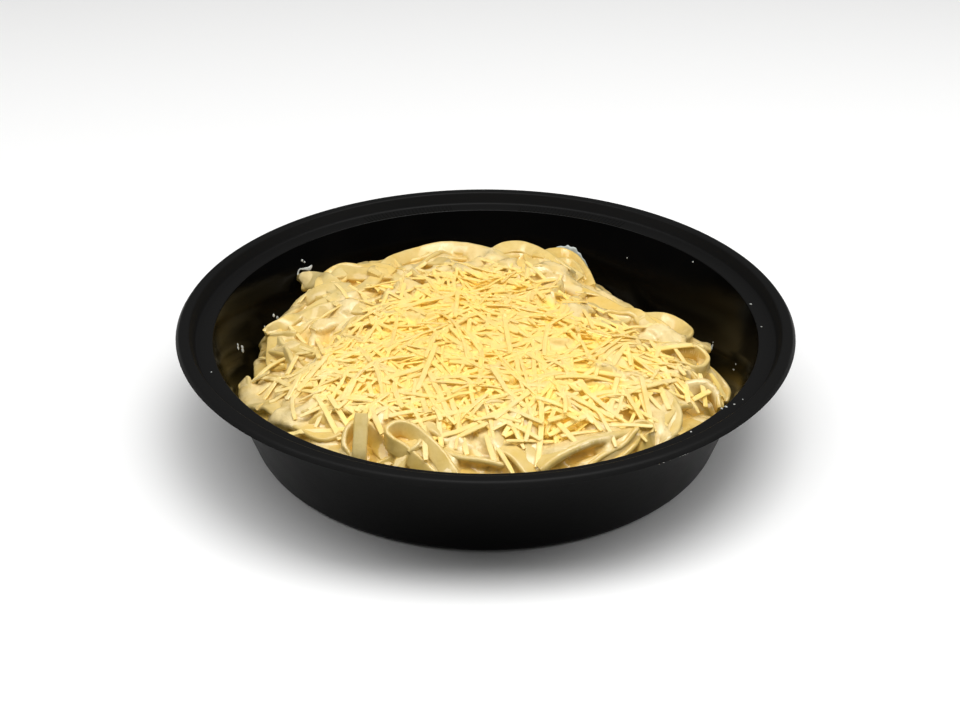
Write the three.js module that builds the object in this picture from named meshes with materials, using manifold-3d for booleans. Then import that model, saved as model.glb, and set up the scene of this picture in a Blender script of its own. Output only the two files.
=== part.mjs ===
// Fettuccine alfredo served in a round black takeaway bowl.
// Three solids: the thin-walled bowl, the heap of sauced fettuccine that fills it
// and the mat of shredded cheese on top. Millimetres, +Z up, and the origin is at
// the middle of the bowl's foot.
import * as THREE from 'three';
import { mergeVertices } from 'three/addons/utils/BufferGeometryUtils.js';
import Module from 'manifold-3d';

const wasm = await Module();
wasm.setup();

// ---- The bowl: one skin of moulded plastic, 9 inches across its lip ----
const SIDES = 64;                 // flat sides round the bowl
const BOWL_HEIGHT = 46;
const SKIN = 0.8;                 // wall thickness
const LIP_RADIUS = 114.3;         // outermost edge, 9 in across
const LIP_DROP = 1.9;             // the lip hangs this far below the rim's top
const RIM_OUTER_RADIUS = 112.6;   // flat top of the rim
const RIM_INNER_RADIUS = 109.4;
const SEAT_OUTER_RADIUS = 107.4;  // the lid's seat, a flat ledge inside the rim
const SEAT_INNER_RADIUS = 101.3;
const SEAT_DEPTH = 4.8;           // ledge below the rim's top
const WALL_SLOPE = THREE.MathUtils.degToRad(18.4);  // off the vertical
const FOOT_CORNER = 4;            // outer radius between wall and foot
const CORNER_STEPS = 3;

// ---- The heap of pasta ----
const GAP = 0.35;                 // clear space between touching solids
const CROWN_HEIGHT = 36.5;        // bare core, above the foot
const SHOULDER_POWER = 6;         // how square the heap's shoulder is
const DOME_SHARE = 0.25;          // the rest of its rise is a gentle dome
// Height of the heap where it meets the wall, every 20 degrees from +X.
const CONTACT_HEIGHTS = [
  12, 11, 9, 22, 26, 25, 23, 24, 17, 10, 16, 20, 20, 20, 20, 20, 20, 16,
];
const DIP = { x: 62, y: 44, depth: 9, spread: 20 };  // the heap slumps on one side
const CORE_RINGS = 11;
const CORE_SIDES = 40;
const LUMP_HEIGHT = 0.9;          // gentle swells of noodles under the sauce
const LUMP_PITCH = 27;

// ---- Noodles and cheese, cooked and grated sizes ----
const NOODLE_WIDTH = 7.2;
const NOODLE_THICKNESS = 1.9;
const NOODLE_ROOT = 0.9;          // how deep a noodle beds into what it lies on
const NOODLE_STEP = 5.9;          // length of one straight run
const SEEDED_NOODLES = 15;
const SHRED_WIDTH = 2.2;
const SHRED_THICKNESS = 1.3;
const SHRED_ROOT = 0.7;
const SHRED_STEP = 9;
const MAT_THICKNESS = 1.8;
const MAT_CENTRE = [2, -8];
const MAT_RADII = [57, 58];
const MAT_SIDES = 36;
const MAT_SHREDS = 33;
const LOOSE_SHREDS = 12;

const MERGE_DISTANCE = 1e-3;       // nearer vertices are one

// Noodles that show at the heap's edge. Each starts at a point seen from above,
// sets off at a heading, turns by `bend` along its length, arches by `lift` at
// the middle and is rolled about its own line. Degrees and millimetres.
const EDGE_NOODLES = [
  { x: -77, y: 54, heading: 50, length: 46, bend: -88, lift: 1, roll: 0 },
  { x: -46, y: 52, heading: 64, length: 66, bend: -78, lift: 2, roll: 15 },
  { x: 4, y: 70, heading: 66, length: 40, bend: -158, lift: 2, roll: 12 },
  { x: 24, y: 76, heading: 22, length: 50, bend: -112, lift: 1, roll: 25 },
  { x: 6, y: 61, heading: -8, length: 80, bend: -48, lift: 1, roll: 0 },
  { x: 64, y: 24, heading: -4, length: 36, bend: -128, lift: 3, roll: 10 },
  { x: 66, y: 4, heading: -2, length: 34, bend: -175, lift: 3, roll: 55 },
  { x: 68, y: -28, heading: 34, length: 40, bend: -150, lift: 3, roll: 20 },
  { x: -42, y: -54, heading: -88, length: 24, bend: 6, lift: 3, roll: 55 },
  { x: -60, y: -52, heading: -44, length: 30, bend: 70, lift: 2, roll: 30 },
  { x: -34, y: -76, heading: 96, length: 46, bend: -190, lift: 4, roll: 30 },
  { x: 1, y: -84, heading: 55, length: 36, bend: -60, lift: 1, roll: 0 },
  { x: 16, y: -84, heading: 60, length: 56, bend: -95, lift: 3, roll: 18 },
  { x: 46, y: -59, heading: -50, length: 26, bend: 70, lift: 2, roll: 30 },
  { x: 59, y: -66, heading: 58, length: 28, bend: 15, lift: 1, roll: 0 },
  { x: -64, y: 22, heading: 172, length: 26, bend: 60, lift: 2, roll: 0 },
  { x: -68, y: 4, heading: 168, length: 24, bend: 80, lift: 2, roll: 20 },
  { x: -90, y: -8, heading: -60, length: 30, bend: 35, lift: 1, roll: 10 },
  { x: -82, y: -34, heading: -28, length: 34, bend: -20, lift: 1, roll: 0 },
];

const radians = THREE.MathUtils.degToRad;

// A repeatable stream of numbers between 0 and 1.
function seeded(seed) {
  let state = seed;
  return () => {
    state = (state * 1664525 + 1013904223) % 4294967296;
    return state / 4294967296;
  };
}

// ---- Solids: from a closed mesh and back ----
function toSolid(geometry) {
  geometry.deleteAttribute('normal');
  geometry.deleteAttribute('uv');
  const merged = mergeVertices(geometry, MERGE_DISTANCE);
  return new wasm.Manifold(new wasm.Mesh({
    numProp: 3,
    vertProperties: new Float32Array(merged.attributes.position.array),
    triVerts: new Uint32Array(merged.index.array),
  }));
}

function toGeometry(solid) {
  const mesh = solid.getMesh();
  const geometry = new THREE.BufferGeometry();
  geometry.setAttribute('position', new THREE.BufferAttribute(mesh.vertProperties, 3));
  geometry.setIndex(new THREE.BufferAttribute(mesh.triVerts, 1));
  geometry.computeVertexNormals();
  return geometry;
}

// The largest connected shell of a solid. Loose scraps go, and so do the sealed
// pockets that crossing strips leave, which fills them. Merging near vertices can
// pinch a shell off, so this runs until one is left.
function mainShell(solid) {
  let shells = solid.decompose();
  let largest = solid;
  do {
    largest = shells.reduce((a, b) => (a.volume() > b.volume() ? a : b));
    shells = toSolid(toGeometry(largest)).decompose();
  } while (shells.length > 1);
  return shells[0];
}

function meshFromRows(positions, triangles) {
  const geometry = new THREE.BufferGeometry();
  geometry.setAttribute('position', new THREE.Float32BufferAttribute(positions, 3));
  geometry.setIndex(triangles);
  return geometry;
}

// A profile turned round the vertical axis, given as [radius, height] pairs.
function turned(profile) {
  const points = profile.map(([radius, height]) => new THREE.Vector2(radius, height));
  const geometry = new THREE.LatheGeometry(points, SIDES);
  geometry.rotateX(Math.PI / 2);
  return geometry;
}

// ---- Bowl profile ----
const seatHeight = BOWL_HEIGHT - SEAT_DEPTH;

// Radius of the inner wall at a height.
function innerRadius(height) {
  return SEAT_INNER_RADIUS - (seatHeight - height) * Math.tan(WALL_SLOPE);
}

// The rounded turn from flat floor to sloped wall, as [radius, height] pairs from
// the floor outwards. `inset` moves the whole skin line inwards.
function floorTurn(inset) {
  const corner = FOOT_CORNER - inset;
  const turn = Math.PI / 2 - WALL_SLOPE;
  const wallOffset = (SKIN - inset) / Math.cos(WALL_SLOPE);
  const centreHeight = FOOT_CORNER;
  const tangentHeight = centreHeight - corner * Math.cos(turn);
  const tangentRadius = innerRadius(tangentHeight) + wallOffset;
  const centreRadius = tangentRadius - corner * Math.sin(turn);
  const points = [];
  for (let step = 0; step <= CORNER_STEPS; step += 1) {
    const angle = (turn * step) / CORNER_STEPS;
    points.push([
      centreRadius + corner * Math.sin(angle),
      centreHeight - corner * Math.cos(angle),
    ]);
  }
  return points;
}

function bowlProfile() {
  const seatUnder = seatHeight - SKIN;
  const rimUnder = BOWL_HEIGHT - SKIN;
  const wallTop = [innerRadius(seatUnder) + SKIN / Math.cos(WALL_SLOPE), seatUnder];
  return [
    [0, 0],
    ...floorTurn(0),
    wallTop,
    [SEAT_OUTER_RADIUS + SKIN, seatUnder],
    [RIM_INNER_RADIUS + SKIN, rimUnder],
    [RIM_OUTER_RADIUS - 0.5 * SKIN, rimUnder],
    [LIP_RADIUS - SKIN, BOWL_HEIGHT - LIP_DROP - 0.2],
    [LIP_RADIUS, BOWL_HEIGHT - LIP_DROP],
    [RIM_OUTER_RADIUS + 0.7 * SKIN, BOWL_HEIGHT - 0.35 * SKIN],
    [RIM_OUTER_RADIUS, BOWL_HEIGHT],
    [RIM_INNER_RADIUS, BOWL_HEIGHT],
    [RIM_INNER_RADIUS - 0.6 * SKIN, BOWL_HEIGHT - 0.5 * SKIN],
    [SEAT_OUTER_RADIUS, seatHeight],
    [SEAT_INNER_RADIUS + 0.4 * SKIN, seatHeight],
    [SEAT_INNER_RADIUS, seatHeight - 0.5 * SKIN],
    ...floorTurn(SKIN).reverse(),
    [0, SKIN],
  ];
}

// The space inside the bowl, kept GAP clear of its skin, up to the ledge.
function interiorSolid() {
  const inset = SKIN + GAP;
  const top = seatHeight - 1;
  const wallTop = [innerRadius(top) - GAP / Math.cos(WALL_SLOPE), top];
  return toSolid(turned([
    [0, inset],
    ...floorTurn(inset),
    wallTop,
    [wallTop[0], BOWL_HEIGHT + 20],
    [0, BOWL_HEIGHT + 20],
  ]));
}

// ---- The heap's surface ----
function contactHeight(angle) {
  const step = 360 / CONTACT_HEIGHTS.length;
  const turn = (((angle * 180) / Math.PI) % 360 + 360) % 360;
  const index = Math.floor(turn / step);
  const blend = 0.5 - 0.5 * Math.cos((Math.PI * (turn - index * step)) / step);
  const next = CONTACT_HEIGHTS[(index + 1) % CONTACT_HEIGHTS.length];
  return CONTACT_HEIGHTS[index] * (1 - blend) + next * blend;
}

// Height of the bare core over a point, before any noodle lies on it.
function coreHeight(x, y) {
  const contact = contactHeight(Math.atan2(y, x));
  const reach = Math.min(Math.hypot(x, y) / innerRadius(contact), 1.05);
  const shoulder = (1 - DOME_SHARE) * (1 - reach ** SHOULDER_POWER);
  const rise = shoulder + DOME_SHARE * (1 - reach ** 2);
  const fromDip = Math.hypot(x - DIP.x, y - DIP.y) / DIP.spread;
  const dip = DIP.depth * Math.exp(-0.5 * fromDip ** 2);
  const pitch = (2 * Math.PI) / LUMP_PITCH;
  const lump = Math.sin(pitch * (x + 0.5 * y)) * Math.cos(pitch * (y - 0.4 * x) + 1);
  return contact + (CROWN_HEIGHT - contact) * rise - dip + LUMP_HEIGHT * lump;
}

// A drum whose top is the core's surface, `raise` higher. Wider than the bowl, so
// that the interior cuts it to fit.
function heapDrum(raise) {
  const positions = [0, 0, coreHeight(0, 0) + raise, 0, 0, -10];
  const triangles = [];
  const ring = (row) => 2 + row * CORE_SIDES;
  for (let row = 0; row <= CORE_RINGS; row += 1) {
    const floor = row === CORE_RINGS;
    const radius = (RIM_INNER_RADIUS * Math.min(row + 1, CORE_RINGS)) / CORE_RINGS;
    for (let side = 0; side < CORE_SIDES; side += 1) {
      const angle = (2 * Math.PI * side) / CORE_SIDES;
      const x = radius * Math.cos(angle);
      const y = radius * Math.sin(angle);
      positions.push(x, y, floor ? -10 : coreHeight(x, y) + raise);
      const next = (side + 1) % CORE_SIDES;
      if (row === 0) {
        triangles.push(0, ring(0) + side, ring(0) + next);
      } else {
        triangles.push(ring(row - 1) + side, ring(row) + side, ring(row) + next);
        triangles.push(ring(row - 1) + side, ring(row) + next, ring(row - 1) + next);
      }
      if (floor) {
        triangles.push(1, ring(row) + next, ring(row) + side);
      }
    }
  }
  return toSolid(meshFromRows(positions, triangles));
}

// ---- Laying strips: each rests on the highest thing below it ----
const CELL = 1.5;                 // height map cell
const CELLS = 154;
const ACROSS = [-0.5, -0.25, 0, 0.25, 0.5];  // samples across a strip's width

class HeightMap {
  constructor(raise) {
    this.heights = new Float32Array(CELLS * CELLS);
    for (let row = 0; row < CELLS; row += 1) {
      for (let column = 0; column < CELLS; column += 1) {
        const x = (column - CELLS / 2) * CELL;
        const y = (row - CELLS / 2) * CELL;
        this.heights[row * CELLS + column] = coreHeight(x, y) + raise;
      }
    }
  }

  // Cells under a strip's width at one point of its path, right side first.
  across(point, width) {
    return ACROSS.map((side) => {
      const x = point.x - Math.sin(point.heading) * width * side;
      const y = point.y + Math.cos(point.heading) * width * side;
      return Math.round(y / CELL + CELLS / 2) * CELLS + Math.round(x / CELL + CELLS / 2);
    });
  }

  // Where a strip comes to rest: the height of its middle and its sideways slope,
  // both evened out along the path so that it doesn't kink.
  rest(path, width) {
    const bed = path.map((point) => {
      const heights = this.across(point, width).map((cell) => this.heights[cell]);
      const slope = (heights[4] - heights[0]) / width;
      const clear = heights.map((height, index) => height - slope * width * ACROSS[index]);
      return { height: Math.max(...clear), slope };
    });
    return bed.map((_, index) => {
      const near = bed.slice(Math.max(0, index - 1), index + 2);
      const mean = (key) => near.reduce((sum, one) => sum + one[key], 0) / near.length;
      return { height: mean('height'), tilt: Math.atan(mean('slope')) };
    });
  }

  raise(path, width, rests, thickness) {
    path.forEach((point, index) => {
      this.across(point, width).forEach((cell, sample) => {
        const { height, tilt } = rests[index];
        const top = height + thickness + Math.tan(tilt) * width * ACROSS[sample];
        this.heights[cell] = Math.max(this.heights[cell], top);
      });
    });
  }
}

// The line of a strip seen from above: an arc of even curvature.
function arcPath(strip, step) {
  const runs = Math.max(2, Math.round(strip.length / step));
  const path = [];
  let { x, y } = strip;
  for (let run = 0; run <= runs; run += 1) {
    const heading = radians(strip.heading + (strip.bend * run) / runs);
    path.push({ x, y, heading, arch: Math.sin((Math.PI * run) / runs) });
    const middle = radians(strip.heading + (strip.bend * (run + 0.5)) / runs);
    x += (Math.cos(middle) * strip.length) / runs;
    y += (Math.sin(middle) * strip.length) / runs;
  }
  return path;
}

// A flat strip of four corners swept along a path, closed at both ends. Where it
// rests it is rooted a little way into what it lies on.
function sweptStrip(path, rests, lift, roll, size) {
  const positions = [];
  const triangles = [];
  const corners = [[-0.5, 0], [0.5, 0], [0.5, 1], [-0.5, 1]];
  path.forEach((point, index) => {
    const { height, tilt } = rests[index];
    const rolled = radians(roll) * point.arch;
    const turn = tilt + rolled;
    const root = size.root * (1 - Math.min(1, (lift * point.arch) / NOODLE_THICKNESS));
    const raised = height + lift * point.arch + 0.4 * size.width * Math.abs(Math.sin(rolled));
    corners.forEach(([side, up]) => {
      const above = up ? size.thickness : -root;
      const across = side * size.width * Math.cos(turn) - above * Math.sin(turn);
      positions.push(
        point.x - Math.sin(point.heading) * across,
        point.y + Math.cos(point.heading) * across,
        raised + side * size.width * Math.sin(turn) + above * Math.cos(turn),
      );
    });
  });
  for (let run = 0; run + 1 < path.length; run += 1) {
    for (let corner = 0; corner < 4; corner += 1) {
      const a = run * 4 + corner;
      const b = run * 4 + ((corner + 1) % 4);
      triangles.push(a, b + 4, a + 4, a, b, b + 4);
    }
  }
  const last = (path.length - 1) * 4;
  triangles.push(0, 2, 1, 0, 3, 2, last, last + 1, last + 2, last, last + 2, last + 3);
  return toSolid(meshFromRows(positions, triangles));
}

function laidStrip(map, strip, size) {
  const path = arcPath(strip, size.step);
  const rests = map.rest(path, size.width);
  map.raise(path, size.width, rests, size.thickness);
  return sweptStrip(path, rests, strip.lift ?? 0, strip.roll ?? 0, size);
}

// ---- The cheese mat's uneven edge ----
function matEdge(angle, grow) {
  const ragged = 1 + 0.07 * Math.sin(3 * angle + 0.6) + 0.05 * Math.sin(7 * angle + 2)
    + 0.03 * Math.sin(12 * angle);
  return [
    MAT_CENTRE[0] + (MAT_RADII[0] * ragged + grow) * Math.cos(angle),
    MAT_CENTRE[1] + (MAT_RADII[1] * ragged + grow) * Math.sin(angle),
  ];
}

function insideMat(x, y, grow) {
  const angle = Math.atan2(y - MAT_CENTRE[1], x - MAT_CENTRE[0]);
  const [edgeX, edgeY] = matEdge(angle, grow);
  return Math.hypot(x - MAT_CENTRE[0], y - MAT_CENTRE[1])
    < Math.hypot(edgeX - MAT_CENTRE[0], edgeY - MAT_CENTRE[1]);
}

// A tall column over the mat's outline.
function matColumn(grow) {
  const outline = new THREE.Shape();
  for (let side = 0; side < MAT_SIDES; side += 1) {
    const [x, y] = matEdge((2 * Math.PI * side) / MAT_SIDES, grow);
    if (side === 0) {
      outline.moveTo(x, y);
    } else {
      outline.lineTo(x, y);
    }
  }
  outline.closePath();
  const column = new THREE.ExtrudeGeometry(outline, { depth: 60, bevelEnabled: false });
  return toSolid(column);
}

// ---- Build the pasta ----
const interior = interiorSolid();
const noodleSize = {
  width: NOODLE_WIDTH,
  thickness: NOODLE_THICKNESS,
  root: NOODLE_ROOT,
  step: NOODLE_STEP,
};
const shredSize = {
  width: SHRED_WIDTH,
  thickness: SHRED_THICKNESS,
  root: SHRED_ROOT,
  step: SHRED_STEP,
};

// Noodles between the edge noodles and the cheese, scattered by a seeded rule.
function scatteredNoodles() {
  const draw = seeded(41);
  const strips = [];
  for (let index = 0; index < SEEDED_NOODLES; index += 1) {
    const angle = radians((360 * (index + 0.7 * draw())) / SEEDED_NOODLES);
    const radius = 66 + 16 * draw();
    strips.push({
      x: radius * Math.cos(angle),
      y: radius * Math.sin(angle),
      heading: (angle * 180) / Math.PI + 60 + 80 * draw(),
      length: 42 + 26 * draw(),
      bend: 50 + 50 * draw(),
      lift: draw(),
      roll: 24 * draw() - 12,
    });
  }
  return strips;
}

// Loose cheese shreds that fell outside the mat.
function looseShreds() {
  const draw = seeded(97);
  const strips = [];
  while (strips.length < LOOSE_SHREDS) {
    const angle = 2 * Math.PI * draw();
    const radius = 50 + 36 * Math.sqrt(draw());
    const strip = {
      x: radius * Math.cos(angle),
      y: radius * Math.sin(angle),
      heading: 360 * draw(),
      length: 10 + 9 * draw(),
      bend: 30 * draw() - 15,
    };
    const path = arcPath(strip, SHRED_STEP);
    const ends = [path.at(0), path.at(-1)];
    if (ends.every((end) => !insideMat(end.x, end.y, 3) && Math.hypot(end.x, end.y) < 88)) {
      strips.push(strip);
    }
  }
  return strips;
}

function pastaSolid() {
  const map = new HeightMap(0);
  const noodles = [...scatteredNoodles(), ...EDGE_NOODLES]
    .map((strip) => laidStrip(map, strip, noodleSize));
  const shreds = looseShreds().map((strip) => laidStrip(map, strip, shredSize));
  const strips = [...noodles, ...shreds].reduce((joined, strip) => joined.add(strip));
  const clearOfCheese = strips.subtract(matColumn(GAP));
  return mainShell(heapDrum(0).add(clearOfCheese).intersect(interior));
}

// ---- Build the cheese ----
function cheeseSolid() {
  const mat = heapDrum(GAP + MAT_THICKNESS).subtract(heapDrum(GAP));
  const map = new HeightMap(GAP + MAT_THICKNESS);
  const draw = seeded(7);
  let joined = mat;
  for (let count = 0; count < MAT_SHREDS; count += 1) {
    const angle = 2 * Math.PI * draw();
    const reach = Math.sqrt(draw()) * 0.94;
    const strip = {
      x: MAT_CENTRE[0] + MAT_RADII[0] * reach * Math.cos(angle),
      y: MAT_CENTRE[1] + MAT_RADII[1] * reach * Math.sin(angle),
      heading: 360 * draw(),
      length: 12 + 10 * draw(),
      bend: 24 * draw() - 12,
    };
    joined = joined.add(laidStrip(map, strip, shredSize));
  }
  return mainShell(joined.intersect(matColumn(0)));
}

// ---- The scene graph ----
function part(name, geometry, colour, roughness) {
  const material = new THREE.MeshStandardMaterial({
    color: colour,
    roughness,
    metalness: 0,
    flatShading: true,
  });
  const mesh = new THREE.Mesh(geometry, material);
  mesh.name = name;
  return mesh;
}

const meal = new THREE.Group();
meal.add(part('bowl', turned(bowlProfile()), 0x17171a, 0.35));
meal.add(part('pasta', toGeometry(pastaSolid()), 0xe6d3a0, 0.4));
meal.add(part('shredded_cheese', toGeometry(cheeseSolid()), 0xf2d98a, 0.55));

export default meal;
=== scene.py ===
# %% [markdown]
# # Fettuccine alfredo in a round takeaway bowl
# The meal is a thin black plastic bowl, a heap of ribbon noodles smothered in cream
# sauce, and a loose mat of shredded cheese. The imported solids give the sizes; this
# lesson dresses them. The bowl is turned from a profile. Noodles and shreds are laid
# one at a time on a map of heights, the way they would fall, and a node tree sweeps
# each one's section along its line. The sauce then fills the valleys of that map.

import math

import bmesh
import bpy
import numpy as np
from mathutils import Matrix, Vector


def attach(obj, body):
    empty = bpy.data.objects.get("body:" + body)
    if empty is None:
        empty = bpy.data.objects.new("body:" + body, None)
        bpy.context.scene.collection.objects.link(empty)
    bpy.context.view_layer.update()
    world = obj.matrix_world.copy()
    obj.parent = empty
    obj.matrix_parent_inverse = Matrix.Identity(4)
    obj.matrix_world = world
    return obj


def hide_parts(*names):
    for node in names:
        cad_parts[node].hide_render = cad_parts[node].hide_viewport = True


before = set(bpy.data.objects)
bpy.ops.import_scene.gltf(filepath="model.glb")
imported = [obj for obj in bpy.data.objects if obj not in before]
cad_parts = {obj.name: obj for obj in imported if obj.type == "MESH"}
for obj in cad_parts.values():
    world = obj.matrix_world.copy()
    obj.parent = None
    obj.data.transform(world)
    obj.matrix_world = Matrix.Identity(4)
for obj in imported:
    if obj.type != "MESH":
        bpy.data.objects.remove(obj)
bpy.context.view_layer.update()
MM = 0.001

# %% [markdown]
# ## The camera
# The bowl is seen from a little under thirty degrees above the table, near enough for
# the front rim to look wider than the back one. A camera is placed by where it looks
# from and which way it tips, so that no shift is needed.

# %% Camera
ELEVATION = math.radians(29.9)
CAMERA_PLACE = Vector((-2.04, -495.3, 309.1)) * MM
FOCAL_LENGTH = 56.25
SENSOR_WIDTH = 36.0


def link_object(name, data):
    piece = bpy.data.objects.new(name, data)
    bpy.context.collection.objects.link(piece)
    return piece


camera_data = bpy.data.cameras.new("camera")
camera_data.lens = FOCAL_LENGTH
camera_data.sensor_width = SENSOR_WIDTH
camera_data.clip_start = 0.01
camera = link_object("camera", camera_data)
camera.matrix_world = (Matrix.Translation(CAMERA_PLACE)
                       @ Matrix.Rotation(math.pi / 2 - ELEVATION, 4, "X"))
bpy.context.scene.camera = camera
print("camera stands", round(CAMERA_PLACE.length * 1000), "mm from the bowl's foot")

# %% [markdown]
# ## Table and light
# The meal stands on a white sweep in a white room. A long soft box hangs overhead and a
# little in front, and a small square lamp beside it gives ridges and shreds their shape,
# so the only shadow is a soft one close to the foot. A single plane is enough for the
# floor, and a look with more contrast keeps black plastic black beside it.


# %% Feeding a node
def feed(tree, node, inputs):
    """Gives each input its value, or a link where the value is another node's output."""
    for name, value in inputs.items():
        if isinstance(value, bpy.types.NodeSocket):
            tree.links.new(value, node.inputs[name])
        else:
            node.inputs[name].default_value = value


def new_material(name, fixed):
    material = bpy.data.materials.new(name)
    material.use_nodes = True
    shader = material.node_tree.nodes["Principled BSDF"]
    feed(material.node_tree, shader, fixed)
    return material, material.node_tree, shader


print("helpers ready: feed, new_material")


# %% Floor and room
FLOOR_HALF = 4.0
WORLD_STRENGTH = 0.15
scene = bpy.context.scene
scene.view_settings.view_transform = "Standard"
scene.view_settings.look = "Medium High Contrast"
floor_mesh = bpy.data.meshes.new("floor")
floor_mesh.from_pydata(
    [(x * FLOOR_HALF, y * FLOOR_HALF, 0) for x, y in ((-1, -1), (1, -1), (1, 1), (-1, 1))],
    [], [(0, 1, 2, 3)])
floor_mesh.materials.append(new_material("white_sweep", {
    "Base Color": (0.93, 0.93, 0.925, 1), "Roughness": 0.8})[0])
floor = link_object("floor", floor_mesh)
scene.world = bpy.data.worlds.new("white_room")
scene.world.use_nodes = True
room = scene.world.node_tree
feed(room, room.nodes["Background"], {"Color": (1, 1, 1, 1), "Strength": WORLD_STRENGTH})
print("floor:", 2 * FLOOR_HALF, "m wide, room at", WORLD_STRENGTH)

# %% Lamps
BOWL_MIDDLE = Vector((0, 0, 0.02))
LAMPS = {
    "top_box": (Vector((0.0, -0.3, 1.3)), (4.2, 0.6), 27.0),
    "key_lamp": (Vector((0.2, -0.1, 1.3)), (0.75, 0.75), 4.7),
}
for name, (stand, size, watts) in LAMPS.items():
    data = bpy.data.lights.new(name, "AREA")
    data.shape = "RECTANGLE"
    data.size, data.size_y = size
    data.energy = watts
    lamp = link_object(name, data)
    aim = (BOWL_MIDDLE - stand).to_track_quat("-Z", "Y")
    lamp.matrix_world = Matrix.Translation(stand) @ aim.to_matrix().to_4x4()
    print(name, size, "m,", watts, "W")

# %% [markdown]
# ## Shader groups
# Two effects turn up in more than one finish. Mottle is a slow wander between 0 and 1,
# for colour that drifts over food and plastic. Grain is a fine height, for the pimpled
# skin of sauce, noodles and moulded plastic. Each is built once as a node group with
# named inputs, and each material feeds it its own scale.

# %% Node helpers
def add_node(tree, kind, inputs=None, **settings):
    node = tree.nodes.new(kind)
    for key, value in settings.items():
        setattr(node, key, value)
    feed(tree, node, inputs or {})
    return node


def output_of(tree, kind, inputs=None, **settings):
    """Adds a node and hands on its first output, nearly always the one that is wanted."""
    return add_node(tree, kind, inputs, **settings).outputs[0]


def math_node(tree, operation, first, second):
    return output_of(tree, "ShaderNodeMath", {0: first, 1: second}, operation=operation)


def object_place(tree):
    return add_node(tree, "ShaderNodeTexCoord").outputs["Object"]


print("helpers ready: add_node, output_of, math_node, object_place")


# %% Mottle and grain
def shader_group(name, inputs, output):
    group = bpy.data.node_groups.new(name, "ShaderNodeTree")
    for label, value in inputs.items():
        socket = group.interface.new_socket(
            label, in_out="INPUT", socket_type="NodeSocketFloat")
        socket.default_value = value
    group.interface.new_socket(output, in_out="OUTPUT", socket_type="NodeSocketFloat")
    return group, add_node(group, "NodeGroupInput").outputs, add_node(group, "NodeGroupOutput")


def noise(tree, scale, detail, roughness):
    return output_of(tree, "ShaderNodeTexNoise", {
        "Vector": object_place(tree), "Scale": scale, "Detail": detail,
        "Roughness": roughness})


def build_mottle():
    group, given, result = shader_group(
        "mottle", {"Scale": 60.0, "Low": 0.35, "High": 0.65}, "Amount")
    feed(group, result, {"Amount": output_of(group, "ShaderNodeMapRange", {
        "Value": noise(group, given["Scale"], 3.0, 0.55),
        "From Min": given["Low"], "From Max": given["High"]})})
    return group


def build_grain():
    group, given, result = shader_group(
        "grain", {"Coarse Scale": 300.0, "Fine Scale": 1200.0, "Fine Share": 0.35}, "Height")
    fine = math_node(group, "MULTIPLY", noise(group, given["Fine Scale"], 2.0, 0.6),
                     given["Fine Share"])
    coarse = noise(group, given["Coarse Scale"], 2.0, 0.5)
    feed(group, result, {"Height": math_node(group, "ADD", coarse, fine)})
    return group


MOTTLE = build_mottle()
GRAIN = build_grain()
print("groups:", MOTTLE.name, GRAIN.name)


# %% Material helpers
def use_group(tree, group, **values):
    inputs = {label.replace("_", " "): value for label, value in values.items()}
    return output_of(tree, "ShaderNodeGroup", inputs, node_tree=group)


def mottle(tree, scale, low=0.3, high=0.7):
    return use_group(tree, MOTTLE, Scale=scale, Low=low, High=high)


def grain_bump(tree, coarse, fine, share, strength, distance):
    """A normal from the grain group. The distance is in metres."""
    height = use_group(tree, GRAIN, Coarse_Scale=coarse, Fine_Scale=fine, Fine_Share=share)
    return output_of(tree, "ShaderNodeBump", {
        "Height": height, "Strength": strength, "Distance": distance})


def blend_colours(tree, factor, low, high):
    low, high = [(*colour, 1) if isinstance(colour, tuple) else colour
                 for colour in (low, high)]
    return add_node(tree, "ShaderNodeMix", {"Factor": factor, 6: low, 7: high},
                    data_type="RGBA").outputs[2]


def map_value(tree, value, low, high):
    return output_of(tree, "ShaderNodeMapRange", {
        "Value": value, "To Min": low, "To Max": high})


print("helpers ready: use_group, mottle, grain_bump, blend_colours, map_value")


# %% [markdown]
# ## The bowl
# Such a bowl is one sheet of black polypropylene drawn over a mould: a flat foot, a
# sloped wall, a ledge for the lid, a step up to a flat rim and a lip that flares down.
# It is round, so its profile is drawn once, its corners are rounded, and it is turned
# about the axis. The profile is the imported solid's own, with finer corners.

# %% Bowl sizes, in millimetres
BOWL_HEIGHT = 46.0
SKIN = 0.8
LIP_RADIUS = 114.3
LIP_DROP = 1.9
RIM_OUTER_RADIUS = 112.6
RIM_INNER_RADIUS = 109.4
SEAT_OUTER_RADIUS = 107.4
SEAT_INNER_RADIUS = 101.3
SEAT_DEPTH = 4.8
WALL_SLOPE = math.radians(18.4)
FOOT_CORNER = 4.0
SEAT_HEIGHT = BOWL_HEIGHT - SEAT_DEPTH
TURN_STEPS = 256


def inner_radius(height):
    return SEAT_INNER_RADIUS - (SEAT_HEIGHT - height) * math.tan(WALL_SLOPE)


print("inner radius at the floor and at the ledge:", round(inner_radius(SKIN), 1),
      round(inner_radius(SEAT_HEIGHT), 1), "mm")


# %% Rounding a profile's corners
def round_corners(corners, steps=4):
    """Each corner is (radius from the axis, height, how far the fillet reaches)."""
    line = []
    for index, (x, z, reach) in enumerate(corners):
        here = np.array((x, z))
        if reach == 0 or index in (0, len(corners) - 1):
            line.append(here)
            continue
        before = np.array(corners[index - 1][:2]) - here
        after = np.array(corners[index + 1][:2]) - here
        reach = min(reach, 0.48 * np.linalg.norm(before), 0.48 * np.linalg.norm(after))
        start = here + before / np.linalg.norm(before) * reach
        end = here + after / np.linalg.norm(after) * reach
        for t in np.linspace(0, 1, steps + 1):
            line.append((1 - t) ** 2 * start + 2 * t * (1 - t) * here + t ** 2 * end)
    return np.array(line)


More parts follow.
